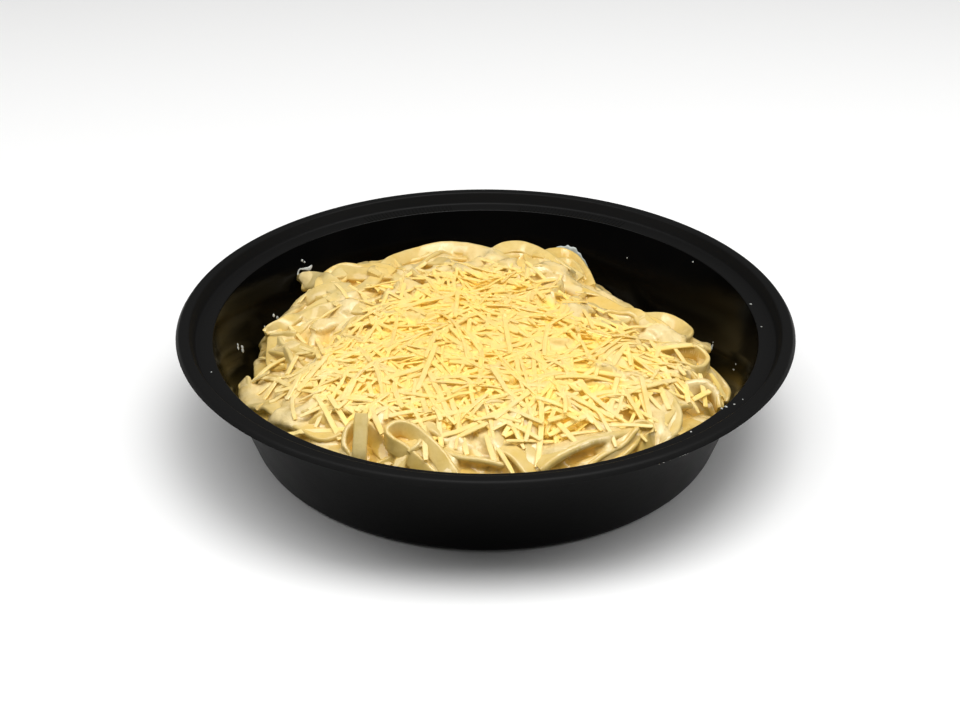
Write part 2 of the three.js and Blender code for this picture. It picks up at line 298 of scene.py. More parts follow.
WALL_FOOT = inner_radius(0) + SKIN / math.cos(WALL_SLOPE)
WALL_TOP = inner_radius(SEAT_HEIGHT - SKIN) + SKIN / math.cos(WALL_SLOPE)
bowl_profile = round_corners([
    (0, 0, 0),
    (WALL_FOOT, 0, FOOT_CORNER * 0.72),
    (WALL_TOP, SEAT_HEIGHT - SKIN, 0.6),
    (SEAT_OUTER_RADIUS + SKIN, SEAT_HEIGHT - SKIN, 0.5),
    (RIM_INNER_RADIUS + SKIN, BOWL_HEIGHT - SKIN, 0.4),
    (RIM_OUTER_RADIUS - 0.4, BOWL_HEIGHT - SKIN, 0.4),
    (LIP_RADIUS - SKIN, BOWL_HEIGHT - LIP_DROP - 0.2, 0.1),
    (LIP_RADIUS, BOWL_HEIGHT - LIP_DROP, 0.1),
    (RIM_OUTER_RADIUS + 0.35, BOWL_HEIGHT, 0.9),
    (RIM_INNER_RADIUS, BOWL_HEIGHT, 0.7),
    (SEAT_OUTER_RADIUS, SEAT_HEIGHT, 0.9),
    (SEAT_INNER_RADIUS, SEAT_HEIGHT, 0.55),
    (inner_radius(SKIN), SKIN, (FOOT_CORNER - SKIN) * 0.72),
    (0, SKIN, 0),
])
print("profile points:", len(bowl_profile))

# %% Turning it
def polar(angles, radius, height):
    """Points round the axis, one for each angle."""
    return np.column_stack(np.broadcast_arrays(
        radius * np.cos(angles), radius * np.sin(angles), height))


def ring_body(name, rows, first, last, upwards=False):
    """A closed body from rings of points in millimetres, with a point at each end. The
    rings run down over its outside, or, where `upwards` is set, up."""
    sides = len(rows[0])
    verts = np.vstack([[first]] + rows + [[last]]) * MM
    faces = [(0, 1 + i, 1 + (i + 1) % sides) for i in range(sides)]
    for row in range(len(rows) - 1):
        a, b = 1 + row * sides, 1 + (row + 1) * sides
        faces += [(a + i, b + i, b + (i + 1) % sides, a + (i + 1) % sides)
                  for i in range(sides)]
    a, end = 1 + (len(rows) - 1) * sides, len(verts) - 1
    faces += [(end, a + (i + 1) % sides, a + i) for i in range(sides)]
    if upwards:
        faces = [face[:1] + face[:0:-1] for face in faces]
    mesh = bpy.data.meshes.new(name)
    mesh.from_pydata(verts.tolist(), [], faces)
    mesh.shade_smooth()
    return link_object(name, mesh)


turns = np.linspace(0, 2 * math.pi, TURN_STEPS, endpoint=False)
bowl = ring_body("bowl_skin", [polar(turns, *point) for point in bowl_profile[1:-1]],
                 (0, 0, 0), (0, 0, SKIN), upwards=True)
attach(bowl, "root")
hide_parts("bowl")
print("bowl faces:", len(bowl.data.polygons))

# %% [markdown]
# ### Bowl plastic
# Moulded polypropylene is black all through. The mould leaves the flange and the
# outside satin, and the inner wall comes out glossier, wetter still where food has
# touched it. One material does all three: a point's distance from the axis, less the
# wall's own slope, says which side of the skin it is on. The flange's top is given a
# lighter black, a painted sheen for the light it catches. The mottle group then drifts
# the sheen, and the grain group gives the faint orange-peel of a moulded skin.

# %% Which part of the bowl a point is on
TOP_FACE_LEVEL = 40.9
black_plastic, tree, shader = new_material("black_plastic", {
    "IOR": 1.49, "Specular IOR Level": 0.12,
})
x, y, z = add_node(tree, "ShaderNodeSeparateXYZ", {0: object_place(tree)}).outputs
across = math_node(tree, "SQRT", math_node(tree, "ADD", math_node(tree, "MULTIPLY", x, x),
                                           math_node(tree, "MULTIPLY", y, y)), 0.0)
unslanted = math_node(tree, "SUBTRACT", across,
                      math_node(tree, "MULTIPLY", z, math.tan(WALL_SLOPE)))
outside = math_node(tree, "GREATER_THAN", unslanted, (inner_radius(0) + 0.5 * SKIN) * MM)
flange = math_node(tree, "GREATER_THAN", across, (SEAT_INNER_RADIUS - 0.2) * MM)
top_face = math_node(tree, "MULTIPLY", flange,
                     math_node(tree, "GREATER_THAN", z, TOP_FACE_LEVEL * MM))
print("the flange's top starts", TOP_FACE_LEVEL, "mm up")

# %% Bowl plastic
BLACKS = (0.0015, 0.0015, 0.0016), (0.0028, 0.0027, 0.0026)
# The flange's top is a lighter black: a painted sheen for the light its satin top catches.
FLANGE_BLACK_WITH_PAINTED_SHEEN = (0.0125, 0.0124, 0.0122)
INNER_ROUGHNESS = 0.13
OUTER_ROUGHNESS = 0.3
FLANGE_ROUGHNESS = 0.42
ROUGHNESS_DRIFT = 0.06
drift = mottle(tree, 45.0)
satin = INNER_ROUGHNESS
for mask, more in ((outside, OUTER_ROUGHNESS - INNER_ROUGHNESS),
                   (top_face, FLANGE_ROUGHNESS - OUTER_ROUGHNESS), (drift, ROUGHNESS_DRIFT)):
    satin = math_node(tree, "ADD", satin, math_node(tree, "MULTIPLY", mask, more))
feed(tree, shader, {
    "Base Color": blend_colours(tree, top_face, blend_colours(tree, drift, *BLACKS),
                                FLANGE_BLACK_WITH_PAINTED_SHEEN),
    "Roughness": satin,
    "Normal": grain_bump(tree, 500.0, 3000.0, 0.4, 0.12, 0.0002),
})
bowl.data.materials.append(black_plastic)
print("finish:", black_plastic.name)

# %% [markdown]
# ## The heap
# The heap has steep shoulders, a gentle dome and a slump at the back right, and it
# meets the wall at a height that changes all the way round. It is the same rule and
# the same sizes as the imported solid's, here for whole arrays of points at once.

# %% Heap surface
CROWN_HEIGHT = 36.5
SHOULDER_POWER = 6
DOME_SHARE = 0.25
CONTACT_HEIGHTS = np.array([
    12, 11, 9, 22, 26, 25, 23, 24, 17, 10, 16, 20, 20, 20, 20, 20, 20, 16,
], float)
DIP_PLACE = (62.0, 44.0)
DIP_DEPTH = 9.0
DIP_SPREAD = 20.0
LUMP_HEIGHT = 0.9
LUMP_PITCH = 27.0


def contact_height(angle):
    step = 360 / len(CONTACT_HEIGHTS)
    turn = np.degrees(angle) % 360 / step
    index = np.floor(turn).astype(int) % len(CONTACT_HEIGHTS)
    blend = 0.5 - 0.5 * np.cos(math.pi * (turn - np.floor(turn)))
    following = (index + 1) % len(CONTACT_HEIGHTS)
    return CONTACT_HEIGHTS[index] * (1 - blend) + CONTACT_HEIGHTS[following] * blend


def core_height(x, y):
    contact = contact_height(np.arctan2(y, x))
    reach = np.minimum(np.hypot(x, y) / inner_radius(contact), 1.05)
    shoulder = (1 - DOME_SHARE) * (1 - reach ** SHOULDER_POWER)
    rise = shoulder + DOME_SHARE * (1 - reach ** 2)
    off = np.hypot(x - DIP_PLACE[0], y - DIP_PLACE[1]) / DIP_SPREAD
    pitch = 2 * math.pi / LUMP_PITCH
    lump = np.sin(pitch * (x + 0.5 * y)) * np.cos(pitch * (y - 0.4 * x) + 1)
    return (contact + (CROWN_HEIGHT - contact) * rise
            - DIP_DEPTH * np.exp(-0.5 * off ** 2) + LUMP_HEIGHT * lump)


print("crown:", round(float(core_height(np.array(0.0), np.array(0.0))), 1), "mm")

# %% [markdown]
# ## Laying strips
# A physics run could drop hundreds of noodles, but it is slow and hard to steer. A map
# of heights does the same for strips that only ever land from above: each new strip
# reads the highest thing under its width, comes to rest there, and raises the map by
# its own thickness. Smoothing its height along its length is its stiffness.

# %% Map of heights
CELL = 0.6
MAP_HALF = 105.0
BED_DROP = 4.6
grid_line = np.arange(-MAP_HALF, MAP_HALF + CELL / 2, CELL)
grid_x, grid_y = np.meshgrid(grid_line, grid_line)
packed_map = core_height(grid_x, grid_y)
heights = packed_map - BED_DROP
bed_map = heights.copy()
print("map:", heights.shape, "cells of", CELL, "mm")


# %% Reading and blurring the map
def cell_of(x, y):
    """The row and column of the cell nearest to each place."""
    column, row = [np.clip(np.rint((line + MAP_HALF) / CELL).astype(int), 0,
                           len(grid_line) - 1) for line in (x, y)]
    return row, column


def read_map(values, x, y):
    """A map's values between its cells."""
    column, row = [np.clip((line + MAP_HALF) / CELL, 0, len(grid_line) - 1.001)
                   for line in (x, y)]
    c, r = column.astype(int), row.astype(int)
    u, v = column - c, row - r
    return ((values[r, c] * (1 - u) + values[r, c + 1] * u) * (1 - v)
            + (values[r + 1, c] * (1 - u) + values[r + 1, c + 1] * u) * v)


def blur_line(values, spread):
    """A bell-shaped average along a row of numbers, its ends held."""
    reach = int(3 * spread) + 1
    weights = np.exp(-0.5 * (np.arange(-reach, reach + 1) / spread) ** 2)
    padded = np.pad(values, reach, mode="edge")
    return np.convolve(padded, weights / weights.sum(), mode="valid")


def blur_map(values, spread):
    """The same average both ways over a map. The spread is in millimetres."""
    rows = np.apply_along_axis(blur_line, 1, values, spread / CELL)
    return np.apply_along_axis(blur_line, 0, rows, spread / CELL)


print("height at 50 mm from the axis:",
      round(float(read_map(heights, 50 + np.zeros(1), 0)[0]), 1), "mm")


# %% A strip's line seen from above
def arc_line(centre, heading, length, bend, step, wave=0.0, phase=0.0):
    """A line about its centre that turns evenly by `bend` degrees over its length, with a
    slow wave of heading on top."""
    count = max(3, int(round(length / step)))
    along = (np.arange(count) + 0.5) / count
    turn = np.radians(heading + bend * along + wave * np.sin(2 * math.pi * along + phase))
    xs = np.concatenate([[0], np.cumsum(np.cos(turn))]) * length / count
    ys = np.concatenate([[0], np.cumsum(np.sin(turn))]) * length / count
    line = np.stack([xs, ys], 1)
    return line + (centre - line.mean(0))


def knotted_line(knots, step):
    """A smooth line through a few knots: each is (x, y, height, roll or girth)."""
    knots = np.array(knots, float)
    ends = np.vstack([2 * knots[0] - knots[1], knots, 2 * knots[-1] - knots[-2]])
    parts = []
    for i in range(1, len(ends) - 2):
        p0, p1, p2, p3 = ends[i - 1:i + 3]
        count = max(2, int(np.linalg.norm((p2 - p1)[:2]) / step))
        t = np.linspace(0, 1, count, endpoint=False)[:, None]
        parts.append(0.5 * (2 * p1 + (p2 - p0) * t
                            + (2 * p0 - 5 * p1 + 4 * p2 - p3) * t ** 2
                            + (3 * p1 - p0 - 3 * p2 + p3) * t ** 3))
    parts.append(knots[-1:])
    return np.vstack(parts)


example = arc_line(np.zeros(2), 0, 60, 90, 2.0)
print("a 60 mm arc through 90 degrees spans",
      round(math.dist(example[0], example[-1]), 1), "mm")


# %% Keeping a strip inside the bowl
WALL_CLEARANCE = 0.6
WALL_PASSES = 3


def unit(vectors):
    return vectors / np.maximum(np.linalg.norm(vectors, axis=1, keepdims=True), 1e-9)


def clear_wall(middle, side, face, width, thickness):
    """Moves a strip's points inwards by as far as its worst corner enters the wall."""
    moved = middle.copy()
    for _ in range(WALL_PASSES):
        worst = np.zeros(len(middle))
        for across in (-0.5, 0.5):
            for through in (-0.5, 0.5):
                corner = moved + side * across * width + face * through * thickness
                wall = inner_radius(np.clip(corner[:, 2], SKIN, SEAT_HEIGHT))
                over = np.hypot(corner[:, 0], corner[:, 1]) - wall + WALL_CLEARANCE
                worst = np.maximum(worst, over)
        inwards = unit(moved[:, :2])
        moved[:, :2] -= inwards * worst[:, None]
    moved[:, 2] = np.maximum(moved[:, 2], SKIN + 0.5 * width)
    return moved


print("least gap to the wall:", WALL_CLEARANCE, "mm, in", WALL_PASSES, "passes")


# %% Which way a strip's face looks
def strip_frame(middle, slope, roll):
    """Side and face directions for a strip that leans by `slope` and then rolls."""
    flat = unit(np.gradient(middle[:, :2], axis=0))
    left = np.stack([-flat[:, 1], flat[:, 0]], 1)
    forward = unit(np.gradient(middle, axis=0))
    side = unit(np.column_stack([left, slope]))
    side = unit(side - forward * (side * forward).sum(1, keepdims=True))
    face = np.cross(forward, side)
    turn = np.radians(np.broadcast_to(roll, len(middle)))[:, None]
    return (side * np.cos(turn) + face * np.sin(turn),
            face * np.cos(turn) - side * np.sin(turn))


def raise_maps(maps, middle, side, face, width, thickness):
    for offset in np.linspace(-0.5, 0.5, max(4, int(width / CELL) + 1)):
        top = middle + side * offset * width + face * thickness * 0.5
        where = cell_of(top[:, 0], top[:, 1])
        for values in maps:
            np.maximum.at(values, where, top[:, 2])


along_x = np.outer(np.arange(3.0), (1, 0, 0))
level_face = strip_frame(along_x, slope=np.zeros(3), roll=0.0)[1]
print("the face of a level strip points up by", round(float(level_face[1][2]), 2))


# %% Laying one soft strip
ACROSS = np.linspace(-0.5, 0.5, 9)
CARRIED_SHARE = 0.92
STEEPEST_LEAN = 1.3
LEAN_SHARE = 0.6
LAST_SHARE = 0.4
FLEX = 1.2
SINK = 0.5


def lay_strip(line, width, thickness, roll, stiffness):
    """Comes to rest on the map, smoothed over its stiffness and kept from sinking far into
    what it lies on. Returns middle points and the way its face looks."""
    step = np.hypot(*np.diff(line[:, :2], axis=0).T).mean()
    tangent = unit(np.gradient(line[:, :2], axis=0))
    left = np.stack([-tangent[:, 1], tangent[:, 0]], 1)
    reach = ACROSS * width * CARRIED_SHARE
    sample = line[:, None, :2] + left[:, None, :] * reach[None, :, None]
    under = heights[cell_of(sample[..., 0], sample[..., 1])]
    slope = (under * reach).sum(1) / (reach ** 2).sum()
    slope = blur_line(slope, stiffness * LEAN_SHARE / step)
    slope = np.clip(slope, -STEEPEST_LEAN, STEEPEST_LEAN)
    bed = (under - slope[:, None] * reach).max(1)
    rest = np.maximum(blur_line(bed, stiffness / step), blur_line(bed, FLEX / step) - SINK)
    rest = blur_line(rest, LAST_SHARE * stiffness / step)
    middle = np.column_stack([line[:, :2], rest + 0.5 * thickness])
    side, face = strip_frame(middle, slope, roll)
    middle = clear_wall(middle, side, face, width, thickness)
    raise_maps((heights, bed_map), middle, side, face, width, thickness)
    return middle, face


print("a strip feels the map at", len(ACROSS), "places across its width")


# %% [markdown]
# ## Noodles
# Cooked fettuccine is a soft flat ribbon about six millimetres wide and two thick. Most
# noodles are scattered by a seeded rule, in an under layer and an upper one. The ones
# that show at the heap's edge are laid last, each by a few knots: where it goes, how
# high it lies there, and how it rolls.

# %% Noodle sizes
NOODLE_WIDTH = 6.1
NOODLE_THICKNESS = 2.0
NOODLE_LENGTHS = (50, 115)
NOODLE_GIRTHS = (0.9, 1.08)
NOODLE_STIFFNESS = (2.5, 5)
NOODLE_BEND = 110
NOODLE_WAVES = (5, 30)
ROLL_SPREAD = 14
TWIST_SPREAD = 26
HEAP_RADIUS = 88
TRIES = 7
rng = np.random.default_rng(2024)
print("noodles:", NOODLE_LENGTHS, "mm long,", NOODLE_WIDTH, "mm wide,", NOODLE_THICKNESS,
      "mm thick")


# %% Scatter the noodles
def pile_over(line):
    """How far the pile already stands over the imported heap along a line."""
    where = cell_of(line[:, 0], line[:, 1])
    return float((heights[where] - packed_map[where]).mean())


def scattered_noodles(count, reach, step):
    """Each noodle slides to the lowest of a few places, so the pile stays even."""
    strips = []
    for _ in range(count):
        choices = []
        for _ in range(TRIES):
            angle = rng.uniform(0, 2 * math.pi)
            radius = reach * math.sqrt(rng.uniform(0, 1))
            centre = np.array([radius * math.cos(angle), radius * math.sin(angle)])
            line = arc_line(centre, rng.uniform(0, 360), rng.uniform(*NOODLE_LENGTHS),
                            rng.normal(0, NOODLE_BEND), step, wave=rng.uniform(*NOODLE_WAVES),
                            phase=rng.uniform(0, 6.28))
            outside = np.maximum(np.hypot(line[:, 0], line[:, 1]) - HEAP_RADIUS, 0).mean()
            choices.append((pile_over(line) + outside, len(choices), line))
        line = min(choices)[2]
        twist = np.sin(np.linspace(0, rng.uniform(3, 9), len(line)) + rng.uniform(0, 6.28))
        roll = rng.normal(0, ROLL_SPREAD) + rng.normal(0, TWIST_SPREAD) * twist
        width = NOODLE_WIDTH * rng.uniform(*NOODLE_GIRTHS)
        middle, face = lay_strip(line, width, NOODLE_THICKNESS, roll,
                                 rng.uniform(*NOODLE_STIFFNESS))
        strips.append((middle, face, width / NOODLE_WIDTH))
    return strips


under_noodles = scattered_noodles(count=56, reach=82, step=2.4)
upper_noodles = scattered_noodles(count=72, reach=84, step=1.6)
inside = np.hypot(grid_x, grid_y) < 80
over_core = (heights - packed_map)[inside]
print("scattered noodles:", len(under_noodles) + len(upper_noodles), "over the packed heap:",
      "mean", round(float(over_core.mean()), 1), "mm, 95 in 100 under",
      round(float(np.percentile(over_core, 95)), 1), "mm")

# %% Noodles that show at the edge
# Knots are (x, y, z, roll) in millimetres and degrees. A roll of 90 stands on edge.
EDGE_NOODLES = {
    "left_back_stub": [(-77, 58, 28, 45), (-71, 55, 30, 45), (-64, 44, 34, 35),
                       (-58, 36, 35, 10), (-51, 30, 35, 0)],
    "back_left_arc": [(-66, 37, 31, 0), (-65, 49, 32, 25), (-61, 55, 33, 40),
                      (-52, 49, 36, 45), (-43, 46, 37, 30), (-36, 49, 35, 10)],
    "back_arc": [(-45, 43, 35, 20), (-41, 56, 35, 35), (-35, 67, 34, 45), (-27, 75, 33, 45),
                 (-17, 78, 34, 40), (-6, 76, 34, 35), (3, 69, 35, 20), (10, 59, 35, 0)],
    "back_peak": [(3, 64, 34, 0), (6, 73, 35, 20), (12, 77, 35, 30), (18, 77, 34, 30),
                  (25, 69, 34, 25), (32, 62, 32, 15), (39, 56, 30, 10)],
    "filmed_arc": [(22, 68, 31, 0), (27, 79, 30, 30), (33, 84, 28, 45), (38, 80, 27, 50),
                   (41, 69, 27, 40), (43, 55, 27, 20)],
    "filmed_inner": [(25, 61, 31, 0), (31, 71, 29, 40), (36, 73, 28, 50), (39, 62, 28, 30)],
    "right_ribbon": [(18, 56, 34, 10), (36, 40, 33, 20), (46, 30, 33, 25), (55, 20, 32, 30),
                     (63, 13, 31, 32), (70, 7, 30, 30), (76, 1, 27, 20)],
    "right_fold_end": [(54, 24, 28, 0), (64, 26, 28, 20), (71, 27, 27, 35), (77, 22, 26, 40),
                       (78, 14, 26, 25), (73, 6, 26, 0)],
    "right_edge_loop": [(50, -12, 33, 20), (61, -11, 33, 50), (71, -6, 32, 75),
                        (79, -4, 30, 88), (83, -8, 28, 90), (81, -13, 27, 92),
                        (76, -17, 28, 100), (69, -18, 29, 110)],
    "right_curl": [(70, -33, 28, 30), (74, -29, 29, 70), (79, -28, 29, 88), (83, -31, 27, 90),
                   (84, -36, 24, 92)],
    "right_back_end": [(79, -8, 24, 20), (85, -9, 21, 40), (89, -12, 18, 50),
                       (91, -18, 16, 40)],
    "right_front_white": [(56, -64, 26, 0), (60, -55, 30, 0), (65, -47, 31, 0),
                          (72, -38, 28, 0)],
    "right_front_white_low": [(65, -59, 24, 0), (70, -51, 26, 0), (75, -46, 25, 0),
                              (80, -38, 22, 0)],
    "front_twist": [(38, -77, 26, -20), (45, -72, 28, -20), (49, -68, 31, -10),
                    (50, -65, 33, 30), (53, -63, 34, 70), (56, -63, 32, 100),
                    (55, -66, 29, 120), (53, -69, 26, 130)],
    "front_wide_fold": [(17, -80, 29, -10), (23, -77, 32, -20), (30, -73, 33, -25),
                        (38, -69, 33, -30), (46, -64, 32, -30), (53, -58, 31, -20)],
    "front_under": [(31, -80, 25, -50), (38, -76, 27, -60), (45, -71, 27, -60),
                    (51, -65, 28, -50)],
    "front_white": [(-2, -66, 34, 0), (5, -73, 33, 0), (10, -77, 32, 0), (16, -83, 27, 0)],
    "front_band": [(-14, -73, 31, -20), (-8, -77, 31, -30), (-1, -79, 31, -35),
                   (6, -80, 30, -30)],
    "front_band_low": [(-12, -81, 26, 0), (-4, -83, 27, -10), (6, -84, 26, 0)],
    "front_big_loop": [(-16, -83, 25, 110), (-23, -78, 29, 112), (-28, -75, 32, 110),
                       (-32, -73, 34, 100), (-33, -70, 36, 90), (-29, -68, 37, 80),
                       (-24, -70, 36, 65), (-19, -75, 34, 50), (-15, -79, 31, 40),
                       (-11, -84, 26, 30)],
    "front_loop_inner": [(-30, -80, 26, 0), (-28, -76, 30, 0), (-25, -74, 32, 10),
                         (-21, -73, 31, 20)],
    "front_small_loop": [(-45, -73, 26, 90), (-48, -69, 29, 90), (-47, -64, 32, 90),
                         (-44, -62, 33, 85), (-40, -64, 33, 70), (-36, -69, 30, 40),
                         (-31, -75, 27, 20)],
    "front_left_low": [(-66, -56, 24, 0), (-58, -63, 26, 0), (-50, -68, 27, 0),
                       (-44, -72, 26, 0)],
    "front_left_white": [(-80, -38, 21, 0), (-71, -47, 27, 0), (-63, -55, 29, 0),
                         (-56, -61, 29, 0), (-50, -60, 30, 0)],
    "front_left_end": [(-86, -30, 18, 0), (-82, -31, 22, 10), (-78, -34, 25, 10),
                       (-73, -42, 26, 0), (-68, -47, 26, 0)],
    "front_left_long": [(-73, -42, 26, 0), (-65, -47, 30, 0), (-57, -49, 33, 0),
                        (-49, -50, 34, 0), (-40, -54, 33, 0)],
    "left_end_high": [(-95, -12, 22, 50), (-91.5, -18, 21.5, 40), (-87, -25, 21.5, 20),
                      (-81, -33, 22.5, 0)],
    "left_end_low": [(-90, -13, 15, 10), (-87, -20, 17, 10), (-81, -28, 21, 0)],
    "left_nub_low": [(-66, -11, 31, 0), (-77, 0, 27, 0), (-84, 8, 21, 20), (-86, 2, 17, 30)],
    "left_big_white": [(-88, 24, 18, 20), (-84, 19, 24, 30), (-79, 9, 27, 20),
                       (-71, -3, 31, 10), (-62, -11, 33, 0), (-52, -12, 34, 0)],
    "left_loop": [(-71.8, 17.3, 34, 15), (-75.5, 15.1, 33, -20), (-78.8, 13, 31.5, -50),
                  (-82.4, 11.9, 29, -80), (-83.8, 11.5, 26, -90), (-82.2, 9.7, 23.5, -95),
                  (-77.7, 8, 23, -100), (-71.9, 5.1, 24, -110)],
    "left_low_body": [(-87, 14, 17, 30), (-86, 2, 19, 25), (-84, -7, 20, 20),
                      (-78, -16, 24, 10), (-70, -22, 28, 0)],
    "left_low_inner": [(-80, 22, 20, 20), (-81, 8, 22, 20), (-80, -3, 23, 20),
                       (-73, -10, 28, 0)],
    "left_shoulder": [(-82, 26, 24, 15), (-75, 23, 29, 20), (-69, 22, 32, 20),
                      (-63, 27, 34, 10), (-54, 34, 34, 0)],
    "back_left_ribbon": [(-68, 52, 29, 20), (-63, 55, 31.5, 40), (-56, 56, 32.5, 50),
                         (-49, 54, 33, 50), (-43, 51, 33, 40), (-37, 47, 33, 15)],
    "left_outline": [(-79, 36, 20, 30), (-73, 38, 26, 35), (-67, 38, 30, 35),
                     (-61, 38, 33, 20), (-54, 36, 34, 0)],
    "front_upright": [(-42.5, -75, 27, 0), (-42.5, -74, 31, 0), (-42.3, -71.5, 34.5, 0),
                      (-42, -66, 41.5, 0)],
}
GIRTHS = {"front_upright": 0.82, "front_loop_inner": 0.7, "left_back_stub": 1.4,
          "front_wide_fold": 1.55}
print("edge noodles:", len(EDGE_NOODLES))


# %% Setting a noodle by its knots
LYING_ROLL = 0.6
REST_SHARE = 0.15
UPRIGHT_SHARE = 0.12
LIFT_BLUR = 3.0


def set_strip(knots, width, thickness):
    """A strip along its knots, lifted where the heap stands higher than it does."""
    line = knotted_line(knots, 1.0)
    under = heights[cell_of(line[:, 0], line[:, 1])]
    upright = np.abs(np.sin(np.radians(line[:, 3])))
    least = under + REST_SHARE * thickness + upright * UPRIGHT_SHARE * width
    line[:, 2] += blur_line(np.maximum(least - line[:, 2], 0), LIFT_BLUR)
    side, face = strip_frame(line[:, :3], np.zeros(len(line)), line[:, 3])
    middle = clear_wall(line[:, :3], side, face, width, thickness)
    lying = upright < LYING_ROLL
    raise_maps((heights,), middle, side, face, width, thickness)
    if lying.any():
        raise_maps((bed_map,), middle[lying], side[lying], face[lying], width, thickness)
    return middle, face


edge_noodles = []
for name, knots in EDGE_NOODLES.items():
    scale = GIRTHS.get(name, 1.0)
    edge_noodles.append((*set_strip(knots, NOODLE_WIDTH * scale, NOODLE_THICKNESS), scale))
print("the pile reaches", round(float(heights[inside].max()), 1), "mm")

# %% [markdown]
# ### Sweeping a section along each line
# Every strip is the same rounded section carried along its own line, which is just
# what Curve to Mesh does. The lines go in as loose edges with three attributes: which
# way the face looks, how wide it is there, and a tone of its own. The tree turns
# edges into curves, sweeps the section, roughens the skin and sets the material.


# %% Tree helpers
def geometry_tree(name, **inputs):
    """An empty tree with its inputs by kind. Returns it, what it is given, its result."""
    tree = bpy.data.node_groups.new(name, "GeometryNodeTree")
    new_socket = tree.interface.new_socket
    new_socket("Geometry", in_out="INPUT", socket_type="NodeSocketGeometry")
    for kind, labels in inputs.items():
        for label in labels:
            new_socket(label, in_out="INPUT", socket_type="NodeSocket" + kind)
    new_socket("Geometry", in_out="OUTPUT", socket_type="NodeSocketGeometry")
    return tree, add_node(tree, "NodeGroupInput").outputs, add_node(tree, "NodeGroupOutput")


def named_attribute(tree, name, kind):
    return output_of(tree, "GeometryNodeInputNamedAttribute", {"Name": name}, data_type=kind)


def scaled(tree, vector, factor):
    return output_of(tree, "ShaderNodeVectorMath", {0: vector, "Scale": factor},
                     operation="SCALE")


def rounded_section(tree, width, height, radius, steps):
    section = output_of(tree, "GeometryNodeCurvePrimitiveQuadrilateral", {
        "Width": width, "Height": height})
    return output_of(tree, "GeometryNodeFilletCurve", {
        "Curve": section, "Radius": radius, "Count": steps}, mode="POLY")


def push(tree, geometry, offset):
    return output_of(tree, "GeometryNodeSetPosition", {"Geometry": geometry, "Offset": offset})


def realize(tree, geometry):
    return output_of(tree, "GeometryNodeRealizeInstances", {"Geometry": geometry})


def set_material(tree, given, result, geometry):
    painted = output_of(tree, "GeometryNodeSetMaterial", {
        "Geometry": geometry, "Material": given["Material"]})
    feed(tree, result, {"Geometry": painted})
    print("tree:", tree.name, len(tree.nodes), "nodes")
    return tree


# %% Strip tree
def build_strip_tree():
    tree, given, result = geometry_tree(
        "swept_strips", Float=("Width", "Thickness", "Edge Radius", "Skin Height",
                               "Skin Scale"),
        Int=("Corner Steps",), Bool=("Smooth",), Material=("Material",))
    curves = output_of(tree, "GeometryNodeMeshToCurve", {"Mesh": given["Geometry"]})
    aimed = output_of(tree, "GeometryNodeSetCurveNormal", {
        "Curve": curves, "Normal": named_attribute(tree, "facing", "FLOAT_VECTOR"),
    }, mode="FREE")
    swept = output_of(tree, "GeometryNodeCurveToMesh", {
        "Curve": aimed, "Fill Caps": True,
        "Profile Curve": rounded_section(tree, given["Thickness"], given["Width"],
                                         given["Edge Radius"], given["Corner Steps"]),
        "Scale": named_attribute(tree, "girth", "FLOAT"),
    })
    skin = output_of(tree, "ShaderNodeTexNoise", {"Scale": given["Skin Scale"]})
    skin = math_node(tree, "MULTIPLY", math_node(tree, "SUBTRACT", skin, 0.5),
                     given["Skin Height"])
    rough = push(tree, swept, scaled(tree, output_of(tree, "GeometryNodeInputNormal"), skin))
    smooth = output_of(tree, "GeometryNodeSetShadeSmooth", {
        "Geometry": rough, "Shade Smooth": given["Smooth"]})
    return set_material(tree, given, result, realize(tree, smooth))


STRIP_TREE = build_strip_tree()


# %% Running a tree and keeping a plain mesh
def plain_copy(name, carrier):
    """What a carrier's modifiers make of it, as a plain mesh. The carrier goes."""
    depsgraph = bpy.context.evaluated_depsgraph_get()
    result = bpy.data.meshes.new_from_object(
        carrier.evaluated_get(depsgraph), preserve_all_data_layers=True, depsgraph=depsgraph
    )
    carrier.modifiers.clear()
    bpy.data.objects.remove(carrier)
    result.name = name
    return link_object(name, result)


def run_tree(name, mesh, tree, values):
    carrier = link_object(name + "_lines", mesh)
    modifier = carrier.modifiers.new("tree", "NODES")
    modifier.node_group = tree
    for item in tree.interface.items_tree:
        if item.in_out == "INPUT" and item.name in values:
            modifier[item.identifier] = values[item.name]
    return plain_copy(name, carrier)


print("helpers ready: plain_copy, run_tree")


# %% A mesh's points and its marks
def points_of(mesh, what="co"):
    values = np.empty(3 * len(mesh.vertices), np.float32)
    mesh.vertices.foreach_get(what, values)
    return values.reshape(-1, 3)


def move_points(mesh, points):
    """Puts a mesh's points where an array in millimetres says."""
    mesh.vertices.foreach_set("co", (points * MM).astype(np.float32).ravel())
    mesh.update()


def mark_points(mesh, label, values):
    """Keeps a number or a direction for each point, as an attribute of that name."""
    values = np.asarray(values, np.float32)
    kind, field = ("FLOAT_VECTOR", "vector") if values.ndim == 2 else ("FLOAT", "value")
    mark = mesh.attributes.get(label) or mesh.attributes.new(label, kind, "POINT")
    mark.data.foreach_set(field, values.ravel())


def marked_mesh(name, points, edges, **marks):
    """Loose points and edges, in millimetres, with their marks."""
    mesh = bpy.data.meshes.new(name)
    mesh.from_pydata((points * MM).tolist(), edges, [])
    for label, values in marks.items():
        mark_points(mesh, label, values)
    return mesh


print("helpers ready: points_of, move_points, mark_points, marked_mesh")


# %% Lines to sweep, and the wall they keep off
def line_mesh(name, strips, end_taper):
    """Loose edges for many strips, each given as (middle, face, girth, tone)."""
    girths, edges, start = [], [], 0
    for middle, _, scale, _ in strips:
        girth = np.full(len(middle), scale)
        girth[[0, -1]] *= end_taper
        girths.append(girth)
        edges += [(start + i, start + i + 1) for i in range(len(middle) - 1)]
        start += len(middle)
    middles, faces, _, tones = zip(*strips)
    return marked_mesh(name, np.vstack(middles), edges, facing=np.vstack(faces),
                       girth=np.concatenate(girths), tone=np.concatenate(tones))


